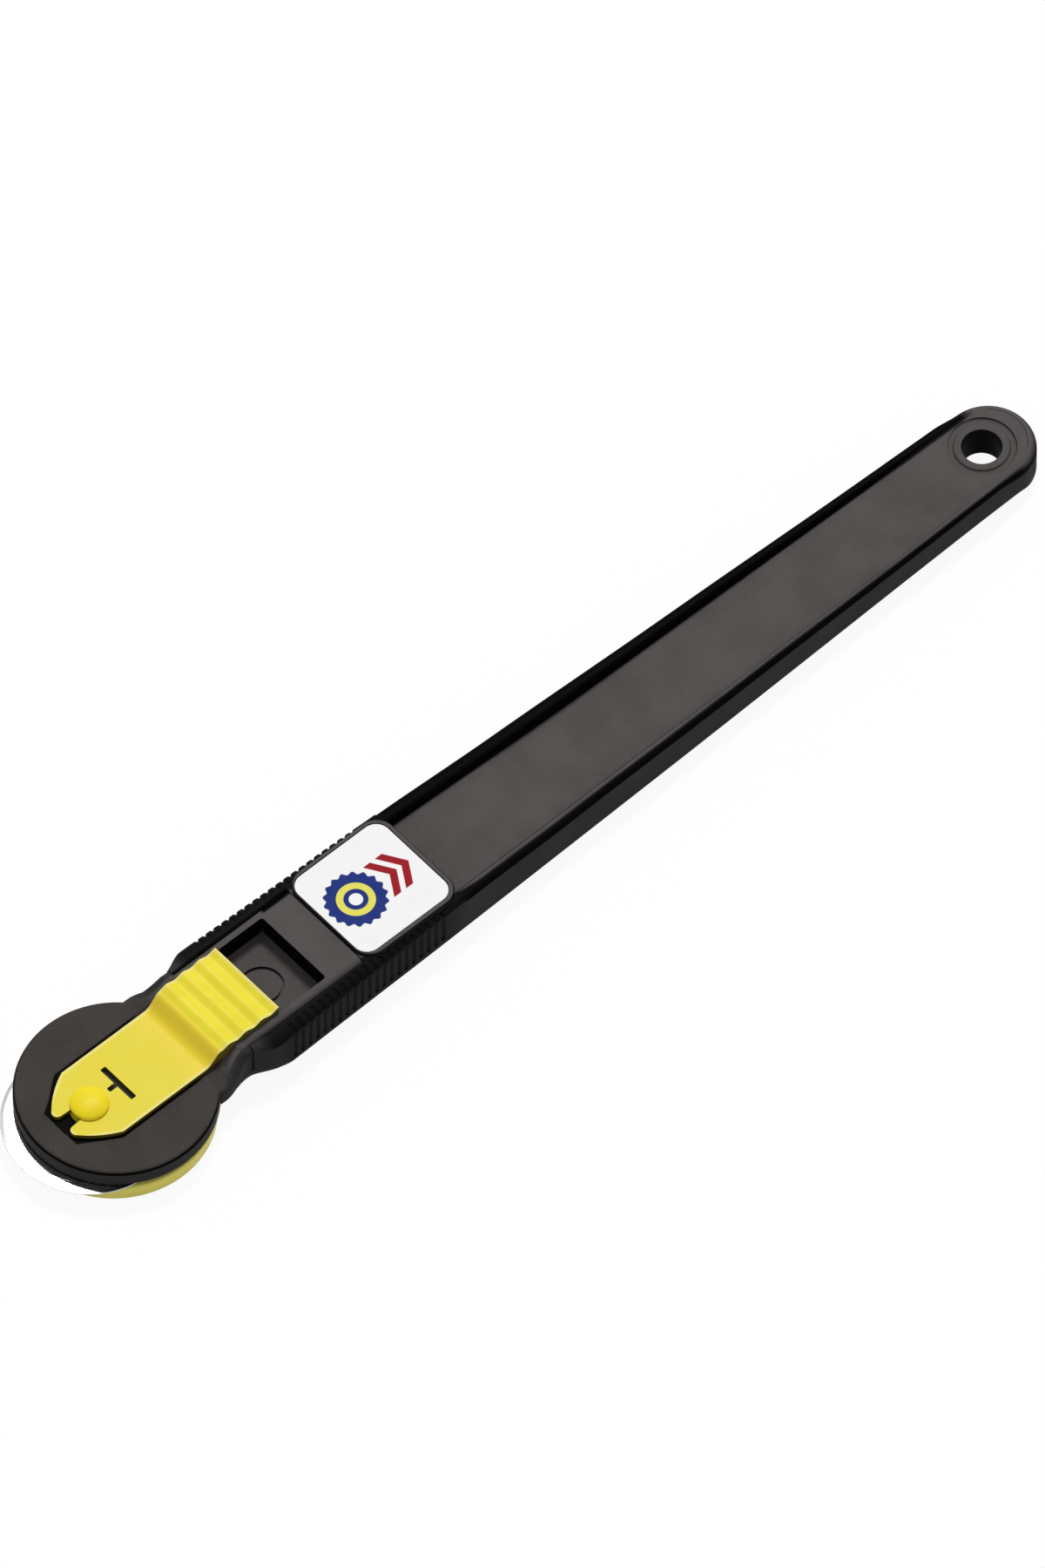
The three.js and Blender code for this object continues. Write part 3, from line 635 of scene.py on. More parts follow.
@dataclass(frozen=True)
class HeadPlastic(GrainedPlastic):
    """The head's plastic: a dark disc, with painted shade as black lines round the lever's place, in its
    mouth and along the arm's seam.

    Attributes:
        disc: Colour of the disc's top.
        shoulder: Painted shade on the shoulders beside the arm's flare.
        pocket: Painted shade on the pocket's walls.
        nose_run: Where the far side of the painted shade line grows broader.
        nose_gain: By how much it does.
        line_outer: The line's outer edge, off the lever's outline.
        line_inner: Its inner edge.
        mouth_half: The mouth's side.
        mouth_rear: Its rear end.
        mouth_front: Its front end.
        strip_side: Side of the painted shade strip behind the pocket.
        strip_start: Its start.
        ledge_side: Side of the tongue groove's ledge.
        ledge_top: Its height.
        ledge_start: Its start.
        seam_inner: The seam's inner edge, off the arm's flare.
        seam_outer: Its outer edge.
        seam_end: Its end.
        flare_start: Where the flare starts to show.
        front_end: Where the line round the lever ends.
        arm_run: Where the arm's round edges start.
        arm_slope: As slope, on those edges.
        disc_end: Where the disc's colour ends.
        shoulder_side: Where the shoulders start, off the flare.
        pocket_run: Where the pocket's walls start.
        neck_run: Where the neck's pale edges start.
        neck_end: Where they end.
        flare_half: The arm's half width.
        flare_x: Where it starts to flare.
        flare_length: How long the flare is.
        flare_rise: How far it spreads.
        flare_power: How sharply it bends.
    """

    slope: Run = (0.62, 0.985)
    disc: Colour = (0.0555, 0.0485, 0.0452)
    shoulder: Colour = (0.022, 0.0213, 0.0213)
    pocket: Colour = (0.003, 0.0028, 0.0028)
    nose_run: Run = (-6.5, -4.0)
    nose_gain: float = 0.3
    line_outer: Run = (0.4, 0.22)
    line_inner: Run = (-0.5, -0.3)
    mouth_half: Run = (0.95, 0.8)
    mouth_rear: Run = (-5.0, -5.4)
    mouth_front: Run = (-7.7, -7.45)
    strip_side: Run = (5.0, 5.25)
    strip_start: Run = (24.0, 24.5)
    ledge_side: Run = (4.8, 4.86)
    ledge_top: Run = (5.2, 5.0)
    ledge_start: Run = (11.9, 12.1)
    seam_inner: Run = (-0.12, 0.02)
    seam_outer: Run = (0.5, 0.3)
    seam_end: Run = (13.0, 12.6)
    flare_start: Run = (7.9, 8.6)
    front_end: Run = (9.6, 9.2)
    arm_run: Run = (10.5, 12.0)
    arm_slope: Run = (0.02, 0.22)
    disc_end: Run = (10.6, 8.8)
    shoulder_side: Run = (0.1, 0.35)
    pocket_run: Run = (12.0, 12.6)
    neck_run: Run = (6.0, 8.0)
    neck_end: Run = (13.0, 12.4)
    flare_half: float = 5.75
    flare_x: float = 12.0
    flare_length: float = 4.0
    flare_rise: float = 1.65
    flare_power: float = 2.5

    def painted_shade_mask(self, x: Signal, y: Signal, z: Signal) -> Signal:
        """Painted shade: the line round the lever's outline, its mouth, the seam, the strip and the groove's
        ledge.
        """
        outline = lever_distance(x, y)
        across = y.math("ABSOLUTE")
        # Painted contact shade round the lever, broader on its far side as its shadow, and painted shade in
        # its mouth.
        broader = y.step(-1.0, 1.0) * x.step(*self.nose_run) * self.nose_gain
        line = (outline - broader).step(*self.line_outer) * outline.step(*self.line_inner)
        mouth = across.step(*self.mouth_half) * x.step(*self.mouth_rear) * x.step(*self.mouth_front)
        # Painted shade on a strip behind the pocket and on the tongue groove's ledge.
        strip = y.step(*self.strip_side) * x.step(*self.strip_start)
        ledge = across.step(*self.ledge_side) * z.step(*self.ledge_top) * x.step(*self.ledge_start)
        # Painted shade along the arm's seam, standing in for a groove.
        beyond = self.beyond(x, y)
        seam = beyond.step(*self.seam_inner) * beyond.step(*self.seam_outer)
        seam = seam * x.step(*self.flare_start) * x.step(*self.seam_end)
        front = (line + mouth).math("MINIMUM", 1.0) * x.step(*self.front_end) + seam
        return (front + strip + ledge).math("MINIMUM", 1.0)

    def beyond(self, x: Signal, y: Signal) -> Signal:
        """How far a place lies outside the arm's flare.

        Args:
            x: Millimetres along the tool from the head's centre.
            y: Millimetres across it.

        Returns:
            |y| - half - rise s to the given power, s the share of the flare's length left, or 0.
        """
        spread = ((x * -1.0 + self.flare_x) * (1 / self.flare_length)).math("MAXIMUM", 0.0)
        return y.math("ABSOLUTE") - self.flare_half - spread**self.flare_power * self.flare_rise

    def painted_light_share(self, facing: Signal, x: Signal) -> Signal:
        """The painted light of level faces also covers the round edges of the arm."""
        arm = x.step(*self.arm_run)
        return facing.step(*self.slope) * (1 - arm) + facing.step(*self.arm_slope) * arm

    def tinted(self, graph: Graph, x: Signal, y: Signal) -> bpy.types.NodeSocket:
        """The disc is darker than the arm, and the shoulders beside the arm's flare darker still by painted
        shade.
        """
        plain = graph.mix(x.step(*self.disc_end), self.level, self.disc)
        # Painted shade on the shoulders beside the arm's flare.
        beside = self.beyond(x, y).step(*self.shoulder_side) * x.step(*self.flare_start)
        return graph.mix(beside, plain, self.shoulder)

    def walls(self, graph: Graph, x: Signal, y: Signal) -> bpy.types.NodeSocket:
        """Black painted shade on the walls in the pocket."""
        return graph.mix(x.step(*self.pocket_run), self.wall, self.pocket)

    def rounds(self, graph: Graph, x: Signal) -> bpy.types.NodeSocket:
        """Painted shade: edges as pale as the walls on the neck, and black elsewhere."""
        return graph.mix(x.step(*self.neck_run) * x.step(*self.neck_end), self.painted_shade_black, self.wall)


def lever_distance(x: Signal, y: Signal) -> Signal:
    """How far a place lies outside the lever's outline at rest, from its sides and tapered nose.

    Args:
        x: Millimetres along the tool from the head's centre.
        y: Millimetres across it.

    Returns:
        The greatest of |y| - half the width, the distance from the taper's line and that from the tip.
    """
    along, across, bulge = 0.531, 0.847, 0.12
    wider = x.step(8.8, 10.0) * (ReleaseLever.thumb_half - ReleaseLever.half)
    side = y.math("ABSOLUTE") - ReleaseLever.half - wider
    taper = side * across - (x - ReleaseLever.tip - ReleaseLever.taper) * along - bulge
    return side.math("MAXIMUM", taper).math("MAXIMUM", x * -1.0 + ReleaseLever.tip)


@dataclass(frozen=True)
class BrightPlastic:
    """Smooth yellow plastic with faint flow clouding, handling marks and painted shade on faces that are not
    level.

    Attributes:
        name: The material's name.
        body: Main colour.
        deep: Colour where the flow is denser, also painted shade on faces that are not level.
        soil: Colour of dirt in fine marks.
        roughness: Mean roughness.
        shine: Strength of the mirror light.
    """

    name: str
    body: Colour = (0.86, 0.75, 0.05)
    deep: Colour = (0.8, 0.67, 0.04)
    soil: Colour = (0.42, 0.33, 0.03)
    roughness: float = 0.4
    shine: float = 0.12

    def trimmed(self, graph: Graph, colour: bpy.types.NodeSocket) -> bpy.types.NodeSocket:
        """The colour with what only some pieces have at their edges."""
        return colour

    def material(self) -> bpy.types.Material:
        """Builds the nodes: flow clouding, painted shade on faces that are not level, fine marks along the
        tool and a soft orange peel.
        """
        graph = Graph(self.name)
        here = graph.place()
        flow = graph.noise(graph.place((0.35, 0.9, 0.9)), 0.5, 3)
        peel = graph.noise(here, 2.2, 2)
        marks = graph.noise(graph.place((0.2, 7.0, 2.0)), 1.0, 2, 0.7).step(0.68, 0.8)
        facing = graph.upright()
        colour = graph.mix(flow.step(0.35, 0.7) * 0.7, self.body, self.deep)
        # Painted shade: faces that are not level take on more of the deeper colour.
        side = graph.mix((1 - facing.step(0.3, 0.95)) * 0.35, colour, self.deep)
        marked = graph.mix(marks * 0.14, self.trimmed(graph, side), self.soil)
        roughness = self.roughness + (flow - 0.5) * 0.12 + marks * 0.1 + (peel - 0.5) * 0.08
        normal = graph.bump(peel + marks * -0.4, 0.01)
        varying = {"Base Color": marked, "Roughness": roughness, "Normal": normal}
        return graph.surface(varying, {"Specular IOR Level": self.shine, "IOR": 1.47})


@dataclass(frozen=True)
class LeverPlastic(BrightPlastic):
    """The lever's plastic: painted highlights inside its edges, painted shade on its upright sides and
    towards the ramp.

    Attributes:
        flat: Colour of the level front.
        painted_edge_highlight: Colour of the painted highlights.
        under: Painted shade on the upright sides.
        painted_ramp_shade: Painted shade towards the ramp.
        line: The painted highlight's inner and outer edge, off the outline.
        flat_run: From the ramp's colour to the front's.
        ramp_shade_run: Where the painted ramp shade starts.
        ramp_shade_end: Where it ends, at the thumb rest.
    """

    flat: Colour = (0.77, 0.65, 0.03)
    painted_edge_highlight: Colour = (0.82, 0.74, 0.24)
    under: Colour = (0.05, 0.037, 0.004)
    painted_ramp_shade: Colour = (0.84, 0.65, 0.045)
    line: Run = (-0.4, -0.2)
    flat_run: Run = (10.0, 6.5)
    ramp_shade_run: Run = (4.5, 9.0)
    ramp_shade_end: Run = (10.1, 9.7)

    def trimmed(self, graph: Graph, colour: bpy.types.NodeSocket) -> bpy.types.NodeSocket:
        """A painted highlight just inside the outline on top, painted shade towards the ramp and on the
        upright sides.
        """
        x, y, _ = graph.axes(graph.place(shift=(HEAD_CENTRE_X, 0, 0)))
        inside = (x - ReleaseLever.rear).math("MAXIMUM", lever_distance(x, y))
        # Painted highlight just inside the outline on top.
        line = inside.step(*self.line) * graph.upright().step(0.6, 0.9)
        level = graph.mix(x.step(*self.flat_run), colour, self.flat)
        # Painted shade towards the ramp.
        level = graph.mix(x.step(*self.ramp_shade_run) * x.step(*self.ramp_shade_end), level, self.painted_ramp_shade)
        edged = graph.mix(line * 0.8, level, self.painted_edge_highlight)
        # Painted shade on the upright sides.
        return graph.mix(graph.upright().step(0.35, 0.1) * 0.9, edged, self.under)


@dataclass(frozen=True)
class GroundSteel:
    """Blade steel ground in rings about its own axle.

    Attributes:
        name: The material's name.
        axle: Place of the axle in millimetres in the row frame.
        bright: Colour on the ridges.
        dull: Colour in the scratches.
        line: Painted shade as a line at the rim and where the grinding starts.
        rings: Grinding lines a millimetre.
        ground: Radii over which the ground band starts.
        rim: Radii over which the rim starts.
    """

    name: str
    axle: Colour
    bright: Colour = (0.92, 0.92, 0.92)
    dull: Colour = (0.8, 0.8, 0.8)
    line: Colour = (0.42, 0.42, 0.42)
    rings: float = 9.0
    ground: Run = (7.6, 7.8)
    rim: Run = (8.58, 8.72)

    def material(self) -> bpy.types.Material:
        """Builds the nodes: the distance from the axle drives noise that lies in rings."""
        graph = Graph(self.name)
        x, y, _ = graph.axes(graph.place(shift=self.axle))
        radius = (x * x + y * y).math("SQRT")
        turn = y.math("ARCTAN2", x)
        track = graph.node("ShaderNodeCombineXYZ", {}, {0: radius * self.rings, 1: turn * 1.6})
        lines = graph.noise(track.outputs[0], 1.0, 3, 0.65)
        cloud = graph.noise(graph.place(), 0.5, 2)
        edge = radius.step(*self.ground)
        start = self.ground[0]
        groove = radius.step(start, start + 0.08) * radius.step(start + 0.16, start + 0.08)
        # Painted shade lines at the rim and where the grinding starts.
        rim = radius.step(*self.rim) + groove * 0.4
        colour = graph.mix(lines.step(0.3, 0.75), self.dull, self.bright)
        honed_with_rim_shade = graph.mix(rim, graph.mix(edge * 0.5, colour, self.bright), self.line)
        roughness = 0.09 + (lines - 0.5) * 0.05 + (cloud - 0.5) * 0.04 - edge * 0.02
        normal = graph.bump(lines, 0.0002)
        varying = {"Base Color": honed_with_rim_shade, "Roughness": roughness, "Normal": normal}
        return graph.surface(varying, {"Metallic": 1.0})


@dataclass(frozen=True)
class PlatedSteel:
    """Zinc-plated or rolled steel of small hardware.

    Attributes:
        name: The material's name.
        bright: Main colour.
        spotted: Colour of duller patches.
        roughness: Mean roughness.
    """

    name: str
    bright: Colour = (0.6, 0.6, 0.61)
    spotted: Colour = (0.36, 0.36, 0.37)
    roughness: float = 0.34

    def material(self) -> bpy.types.Material:
        """Builds the nodes: plating spots over fine tumbled scratches."""
        graph = Graph(self.name)
        here = graph.place()
        spots = graph.noise(here, 1.6, 4, 0.6)
        fine = graph.noise(graph.place((14.0, 1.2, 1.2)), 1.0, 2, 0.7)
        colour = graph.mix(spots.step(0.4, 0.75), self.bright, self.spotted)
        roughness = self.roughness + (spots - 0.5) * 0.25 + (fine - 0.5) * 0.1
        normal = graph.bump(spots + fine * 0.6, 0.005)
        varying = {"Base Color": colour, "Roughness": roughness, "Normal": normal}
        return graph.surface(varying, {"Metallic": 1.0})


@dataclass(frozen=True)
class PrintedFilm:
    """White label film with a plain printed mark: a toothed wheel and two arrow heads.

    Attributes:
        name: The material's name.
        centre: The label's middle in millimetres in the row frame.
        film: Colour of the film.
        aged: Colour of its duller clouds.
        blue: First ink.
        yellow: Second ink.
        red: Third ink.
        wheel_x: Place of the wheel's middle.
        wheel: The wheel's edge.
        teeth: Number of its teeth.
        tooth: How far they stand out.
        ring_outer: The yellow ring's outer edge.
        ring_inner: Its inner edge.
        bore: Edge of the white middle.
        heads: Front and rear edge of each arrow head, along the slanted line.
        slant: How far an arrow head falls back over each millimetre across.
        head_half: The arrow heads' side.
    """

    name: str
    centre: Colour
    film: Colour = (0.93, 0.925, 0.925)
    aged: Colour = (0.88, 0.87, 0.88)
    blue: Colour = (0.012, 0.03, 0.2)
    yellow: Colour = (0.78, 0.74, 0.12)
    red: Colour = (0.34, 0.012, 0.02)
    wheel_x: float = -2.1
    wheel: Run = (3.25, 3.15)
    teeth: float = 18.0
    tooth: float = 0.16
    ring_outer: Run = (2.05, 1.99)
    ring_inner: Run = (1.24, 1.3)
    bore: Run = (0.76, 0.7)
    heads: tuple[tuple[Run, Run], ...] = (((3.4, 3.34), (2.4, 2.46)), ((5.0, 4.94), (4.0, 4.06)))
    slant: float = 0.62
    head_half: Run = (2.42, 2.36)

    def material(self) -> bpy.types.Material:
        """Builds the nodes: each printed form is a smooth step on a distance."""
        graph = Graph(self.name)
        here = graph.place(shift=self.centre)
        x, y, _ = graph.axes(here)
        across = x - self.wheel_x
        radius = (across * across + y * y).math("SQRT")
        teeth = (y.math("ARCTAN2", across) * self.teeth).math("SINE") * self.tooth
        wheel = (radius + teeth).step(*self.wheel)
        ring = radius.step(*self.ring_outer) * radius.step(*self.ring_inner)
        bore = radius.step(*self.bore)
        slant = y.math("ABSOLUTE") * self.slant + x
        first_head, second_head = [slant.step(*tip) * slant.step(*back) for tip, back in self.heads]
        arrow = (first_head + second_head) * y.math("ABSOLUTE").step(*self.head_half)
        paper = graph.noise(here, 0.6, 3)
        grain = graph.noise(here, 9.0, 2)
        film = graph.mix(paper.step(0.35, 0.75) * 0.35, self.film, self.aged)
        ringed = graph.mix(ring, graph.mix(wheel, film, self.blue), self.yellow)
        inked = graph.mix(arrow, graph.mix(bore, ringed, film), self.red)
        roughness = 0.42 + (paper - 0.5) * 0.16 + (grain - 0.5) * 0.06 - wheel * 0.06
        normal = graph.bump(grain * 0.5 + wheel * 0.4, 0.006)
        varying = {"Base Color": inked, "Roughness": roughness, "Normal": normal}
        return graph.surface(varying, {"Specular IOR Level": 0.02})


# Pieces


@dataclass
class Handle:
    """The black handle: neck, ribbed grip, label pad, long trough and tail with its hang hole."""

    fillet: Stops = ((8.0, 7.2), (12.0, 6.55), (15.2, 7.6))
    tops: Stops = ((33.0, 5.9), (40.8, 5.6), (40.9, 5.35), (56.0, 4.95), (80.0, 4.57), (105.0, 4.25))
    insets: Stops = ((12.6, 0.8), (16.0, 1.15), (27.95, 1.15), (40.9, 0.7), (115.0, 0.44), (118.0, 0.95))
    drops: Stops = ((12.6, 0.8), (16.0, 0.95), (27.95, 0.95), (40.9, 0.5), (115.0, 0.5), (118.0, 1.2))
    bands: Stops = ((40.9, 1.55), (118.1, 0.9))
    floors: Stops = ((40.9, 4.1), (66.9, 3.45), (104.0, 3.45), (113.8, 4.1), (121.1, 4.25))
    base_edges: Stops = (
        (14.2, 2.2), (17.3, 0.9), (40.9, 0.6), (66.9, 0.6), (112.0, 1.05), (117.6, 0.95), (119.8, 0.25),
    )
    front: float = 6.6
    channel_front: float = 12.6
    grip_front: float = 16.0
    grip_half: float = 7.6
    pad_front: float = 27.95
    pad_rear: float = 40.9
    pad_width: float = 12.9
    pad_corner: float = 2.2
    pad_foot: float = 4.2
    pad_top: float = 6.3
    pad_edge: float = 0.3
    recess_run: Run = (28.1, 40.35)
    recess_width: float = 11.95
    recess_corner: float = 1.7
    recess_floor: float = 6.13
    tail: float = 117.95
    tail_radius: float = 4.95
    plate_top: float = 2.35
    plate_edge: float = 0.1
    channel_half: float = 5.9
    wall_edge: float = 0.12
    rail_roll: float = 0.5
    floor_edge: float = 0.4
    rib_first: float = 17.3
    rib_last: float = 37.62
    rib_pitch: float = 1.016
    rib_depth: float = 0.2
    rib_foot: float = 1.3
    rib_blend: float = 0.12
    rib_notch: Stops = ((0.12, 1.0), (0.27, 0.0))
    rib_stations: tuple[float, ...] = (-0.45, -0.3, -0.22, -0.14, 0, 0.14, 0.22, 0.3)
    channel_foot: float = 0.05
    base_margin: float = 0.1
    floor_margin: float = 0.15
    hole_x: float = 117.05
    hole_radius: float = 2.08
    boss_radius: float = 2.95
    boss_top: float = 4.25
    boss_roll: tuple[float, float] = (0.4, 0.16)
    hole_lead: float = 0.12
    moat_reach: tuple[float, float] = (2.7, 3.8)
    moat_offset: tuple[float, float] = (0.28, -0.02)
    moat_size: tuple[float, float] = (0.38, 0.26)
    rail_width: float = 1.2
    head_clearance: float = 10.6
    tang_seat: tuple[Colour, Colour] = ((27.9, -4.1, 2.35), (36.05, 4.1, 4.3))
    screw_seat: Stops = (
        (0, -1), (2.2, -1), (2.2, 0), (2.0, 0.2), (2.0, 1.25), (0.95, 1.25), (0.95, 2.6), (0, 2.6),
    )

    def half_width(self, x: np.ndarray) -> np.ndarray:
        """Half the width: smooth stops up to the grip, then one even taper to the tail."""
        share = np.clip((x - self.grip_front) / (self.tail - self.grip_front), 0, 1)
        taper = self.grip_half + (self.tail_radius - self.grip_half) * share
        return np.where(x < self.grip_front, eased(x, self.fillet), taper)

    def stations(self) -> np.ndarray:
        """Places along the tool, close together over the ribs and doubled at each step of the top."""
        ribs = np.arange(self.rib_first, self.rib_last + 0.01, self.rib_pitch)[:, None] + self.rib_stations
        steps = [self.channel_front, self.pad_front + 0.01, self.pad_rear - 0.01]
        doubled = [place + side for place in steps for side in (-0.004, 0.004)]
        runs = [
            np.linspace(self.front, 12.5, 14), np.linspace(12.8, 16.7, 14), ribs.ravel(),
            np.linspace(38.1, 40.75, 6), np.linspace(41.1, 60, 24), np.linspace(62, 112, 22),
            np.linspace(113, self.tail, 8), doubled,
        ]
        return np.unique(np.round(np.concatenate(runs), 4))

    def ribbing(self, x: np.ndarray) -> np.ndarray:
        """Depth of the grooves between the grip ribs: a smooth notch about each groove's middle."""
        nearest = np.round((x - self.rib_first) / self.rib_pitch)
        nearest = np.clip(nearest, 0, round((self.rib_last - self.rib_first) / self.rib_pitch))
        away = np.abs(x - self.rib_first - nearest * self.rib_pitch)
        return self.rib_depth * eased(away, self.rib_notch)

    def section(self, x: np.ndarray, half: np.ndarray) -> tuple[np.ndarray, np.ndarray]:
        """The half section at each place, from the middle of the base round to the middle of the top.

        The lines are the flat base, a quarter circle, the flank, a quarter ellipse over the crest,
        the rail's top, its inner wall, a quarter circle at its foot and the floor.

        Args:
            x: Places along the tool.
            half: Half the width there.

        Returns:
            Inset from the side and height, each of shape (places, lines).
        """
        plate = x < self.channel_front
        channel = (x >= self.channel_front) & (x < self.pad_front + 0.01)
        solid = (x >= self.pad_front + 0.01) & (x < self.pad_rear - 0.01)
        top = np.where(plate, self.plate_top, eased(x, self.tops))
        floor = np.where(plate | channel, self.plate_top, eased(x, self.floors))
        floor = np.where(solid, top, np.minimum(floor, top))
        inset = np.where(plate, self.plate_edge, eased(x, self.insets))
        drop = np.where(plate, self.plate_edge, eased(x, self.drops))
        band = np.where(x < self.pad_rear - 0.01, half - self.channel_half, eased(x, self.bands))
        trough = x >= self.pad_rear - 0.01
        lip = np.where(trough, (band + eased(x, self.insets)) / 2, band - self.wall_edge)
        rise = top - floor
        roll = np.where(trough, np.minimum(self.rail_roll, rise / 2), np.minimum(self.wall_edge, rise / 3))
        groove = self.ribbing(x)
        edge = eased(x, self.base_edges)
        foot = np.minimum(np.where(x < self.pad_rear, self.channel_foot, self.floor_edge), rise / 3)
        lines: list[tuple[np.ndarray, np.ndarray]] = []
        for share in (1.0, 0.5):
            lines.append((half * share, half * 0))
        lines.append((edge + self.base_margin, half * 0))
        for angle in arc(0, 90, 6):
            lines.append((edge * (1 - math.sin(angle)), edge * (1 - math.cos(angle))))
        below = np.maximum(edge, np.minimum(self.rib_foot - self.rib_blend, top - drop))
        lines.append((half * 0, below))
        foot_line = np.maximum(below, np.minimum(self.rib_foot + self.rib_blend, top - drop))
        for share in (0.0, 0.35, 0.7):
            lines.append((groove, foot_line + (top - drop - foot_line) * share))
        for angle in arc(0, 90, 8):
            fade = 1.0 if angle < math.radians(80) else 0.0
            depth = groove * fade
            lines.append((
                inset * (1 - math.cos(angle)) + depth * math.cos(angle),
                top - drop * (1 - math.sin(angle)) - depth * math.sin(angle),
            ))
        for angle in arc(90, 0, 6):
            lines.append((lip + (band - lip) * math.cos(angle), top - roll * (1 - math.sin(angle))))
        for angle in arc(0, 90, 4)[1:]:
            lines.append((band + foot * (1 - math.cos(angle)), floor + foot * (1 - math.sin(angle))))
        lines.append((band + foot + self.floor_margin, floor))
        lines.append(((half + band + foot) / 2, floor))
        lines.append((half, floor))
        insets, heights = zip(*lines)
        return np.stack(insets, axis=1), np.stack(heights, axis=1)

    def outside(self) -> Shell:
        """The body without its holes: the section carried down the near side, round and back."""
        x = self.stations()
        half = self.half_width(x)
        insets, heights = self.section(x, half)
        turn = arc(-90, 90, 40)[1:-1]
        side = np.full_like(turn, self.tail_radius)
        tail_insets, _ = self.section(np.full_like(turn, self.tail), side)
        _, crest = self.section(self.tail + self.tail_radius * np.cos(turn), side)
        reach = self.tail_radius - tail_insets
        tail_places = self.tail + reach * np.cos(turn)[:, None]
        tail_heights = np.where(tail_insets > self.rail_width, eased(tail_places, self.floors), crest)
        tail_heights = np.where(heights[-1] < 0.01, 0, tail_heights)
        near = np.stack([np.broadcast_to(x[:, None], insets.shape), insets - half[:, None], heights], axis=-1)
        end = np.stack([tail_places, reach * np.sin(turn)[:, None], tail_heights], axis=-1)
        far = near[::-1] * (1, -1, 1)
        grid = np.concatenate([near, end, far])
        shell = Shell.from_grid(grid, around=False, caps=False)
        lines = grid.shape[1]
        first = list(range(lines))
        last = [len(grid) * lines - 1 - line for line in range(lines)]
        shell.faces.append(first + last)
        return shell

    def build(self, plastic: bpy.types.Material) -> bpy.types.Object:
        """Joins pad and boss to the body, then cuts recess, holes and seats."""
        pad_outline = rounded_rectangle(self.pad_front, self.pad_rear, self.pad_width, self.pad_corner)
        crown = [
            (self.pad_edge * (1 - math.cos(a)), self.pad_top - self.pad_edge * (1 - math.sin(a)))
            for a in arc(0, 90, 4)
        ]
        pad = Shell.stacked(pad_outline, [(0, self.pad_foot), *crown])
        recess = rounded_rectangle(*self.recess_run, self.recess_width, self.recess_corner)
        clear = self.head_clearance
        work = Workpiece.start("handle_moulding", self.outside())
        work.carve(Carve.JOIN, pad, self.boss())
        work.carve(
            Carve.CUT,
            Shell.turned([(0, -1), (clear, -1), (clear, 7), (0, 7)], 0, steps=160),
            Shell.stacked(recess, [(0, self.recess_floor), (0, 7)]),
            self.bore(),
            self.moat(),
            *[Shell.turned(self.screw_seat, place, steps=48) for place in SCREW_PLACES],
            Shell.block(*self.tang_seat),
        )
        return work.finish(Body.HANDLE, ["handle_body"], "black_plastic", plastic)

    def boss(self) -> Shell:
        """The ring round the hang hole, its upper edge a quarter ellipse."""
        wide, tall = self.boss_roll
        ring = [
            (self.boss_radius - wide + wide * math.cos(a), self.boss_top - tall + tall * math.sin(a))
            for a in arc(0, 90, 6)
        ]
        profile = [(0, 2.4), (self.boss_radius, 2.4), *ring, (0, self.boss_top)]
        return Shell.turned(profile, self.hole_x, steps=96)

    def moat(self) -> Shell:
        """The shallow groove round the boss: the lower half of an ellipse, open above."""
        out, up = self.moat_offset
        wide, deep = self.moat_size
        inner, outer = self.moat_reach
        lower_half = [
            (self.boss_radius + out + wide * math.cos(a), self.boss_top + up + deep * math.sin(a))
            for a in arc(0, -180, 10)
        ]
        return Shell.turned([(outer, 4.8), *lower_half, (inner, 4.8), (outer, 4.8)], self.hole_x, steps=96)

    def bore(self) -> Shell:
        """The hang hole, with a quarter-round lead at either end."""
        lead, radius, top = self.hole_lead, self.hole_radius, self.boss_top
        below = [(radius + lead * (1 - math.sin(a)), lead * (1 - math.cos(a))) for a in arc(15, 90, 3)]
        above = [(radius + lead * (1 - math.cos(a)), top - lead * (1 - math.sin(a))) for a in arc(0, 75, 3)]
        wide = radius + lead
        profile = [(0, -1), (wide, -1), (wide, 0), *below, *above, (wide, top), (wide, 6), (0, 6)]
        return Shell.turned(profile, self.hole_x, steps=64)


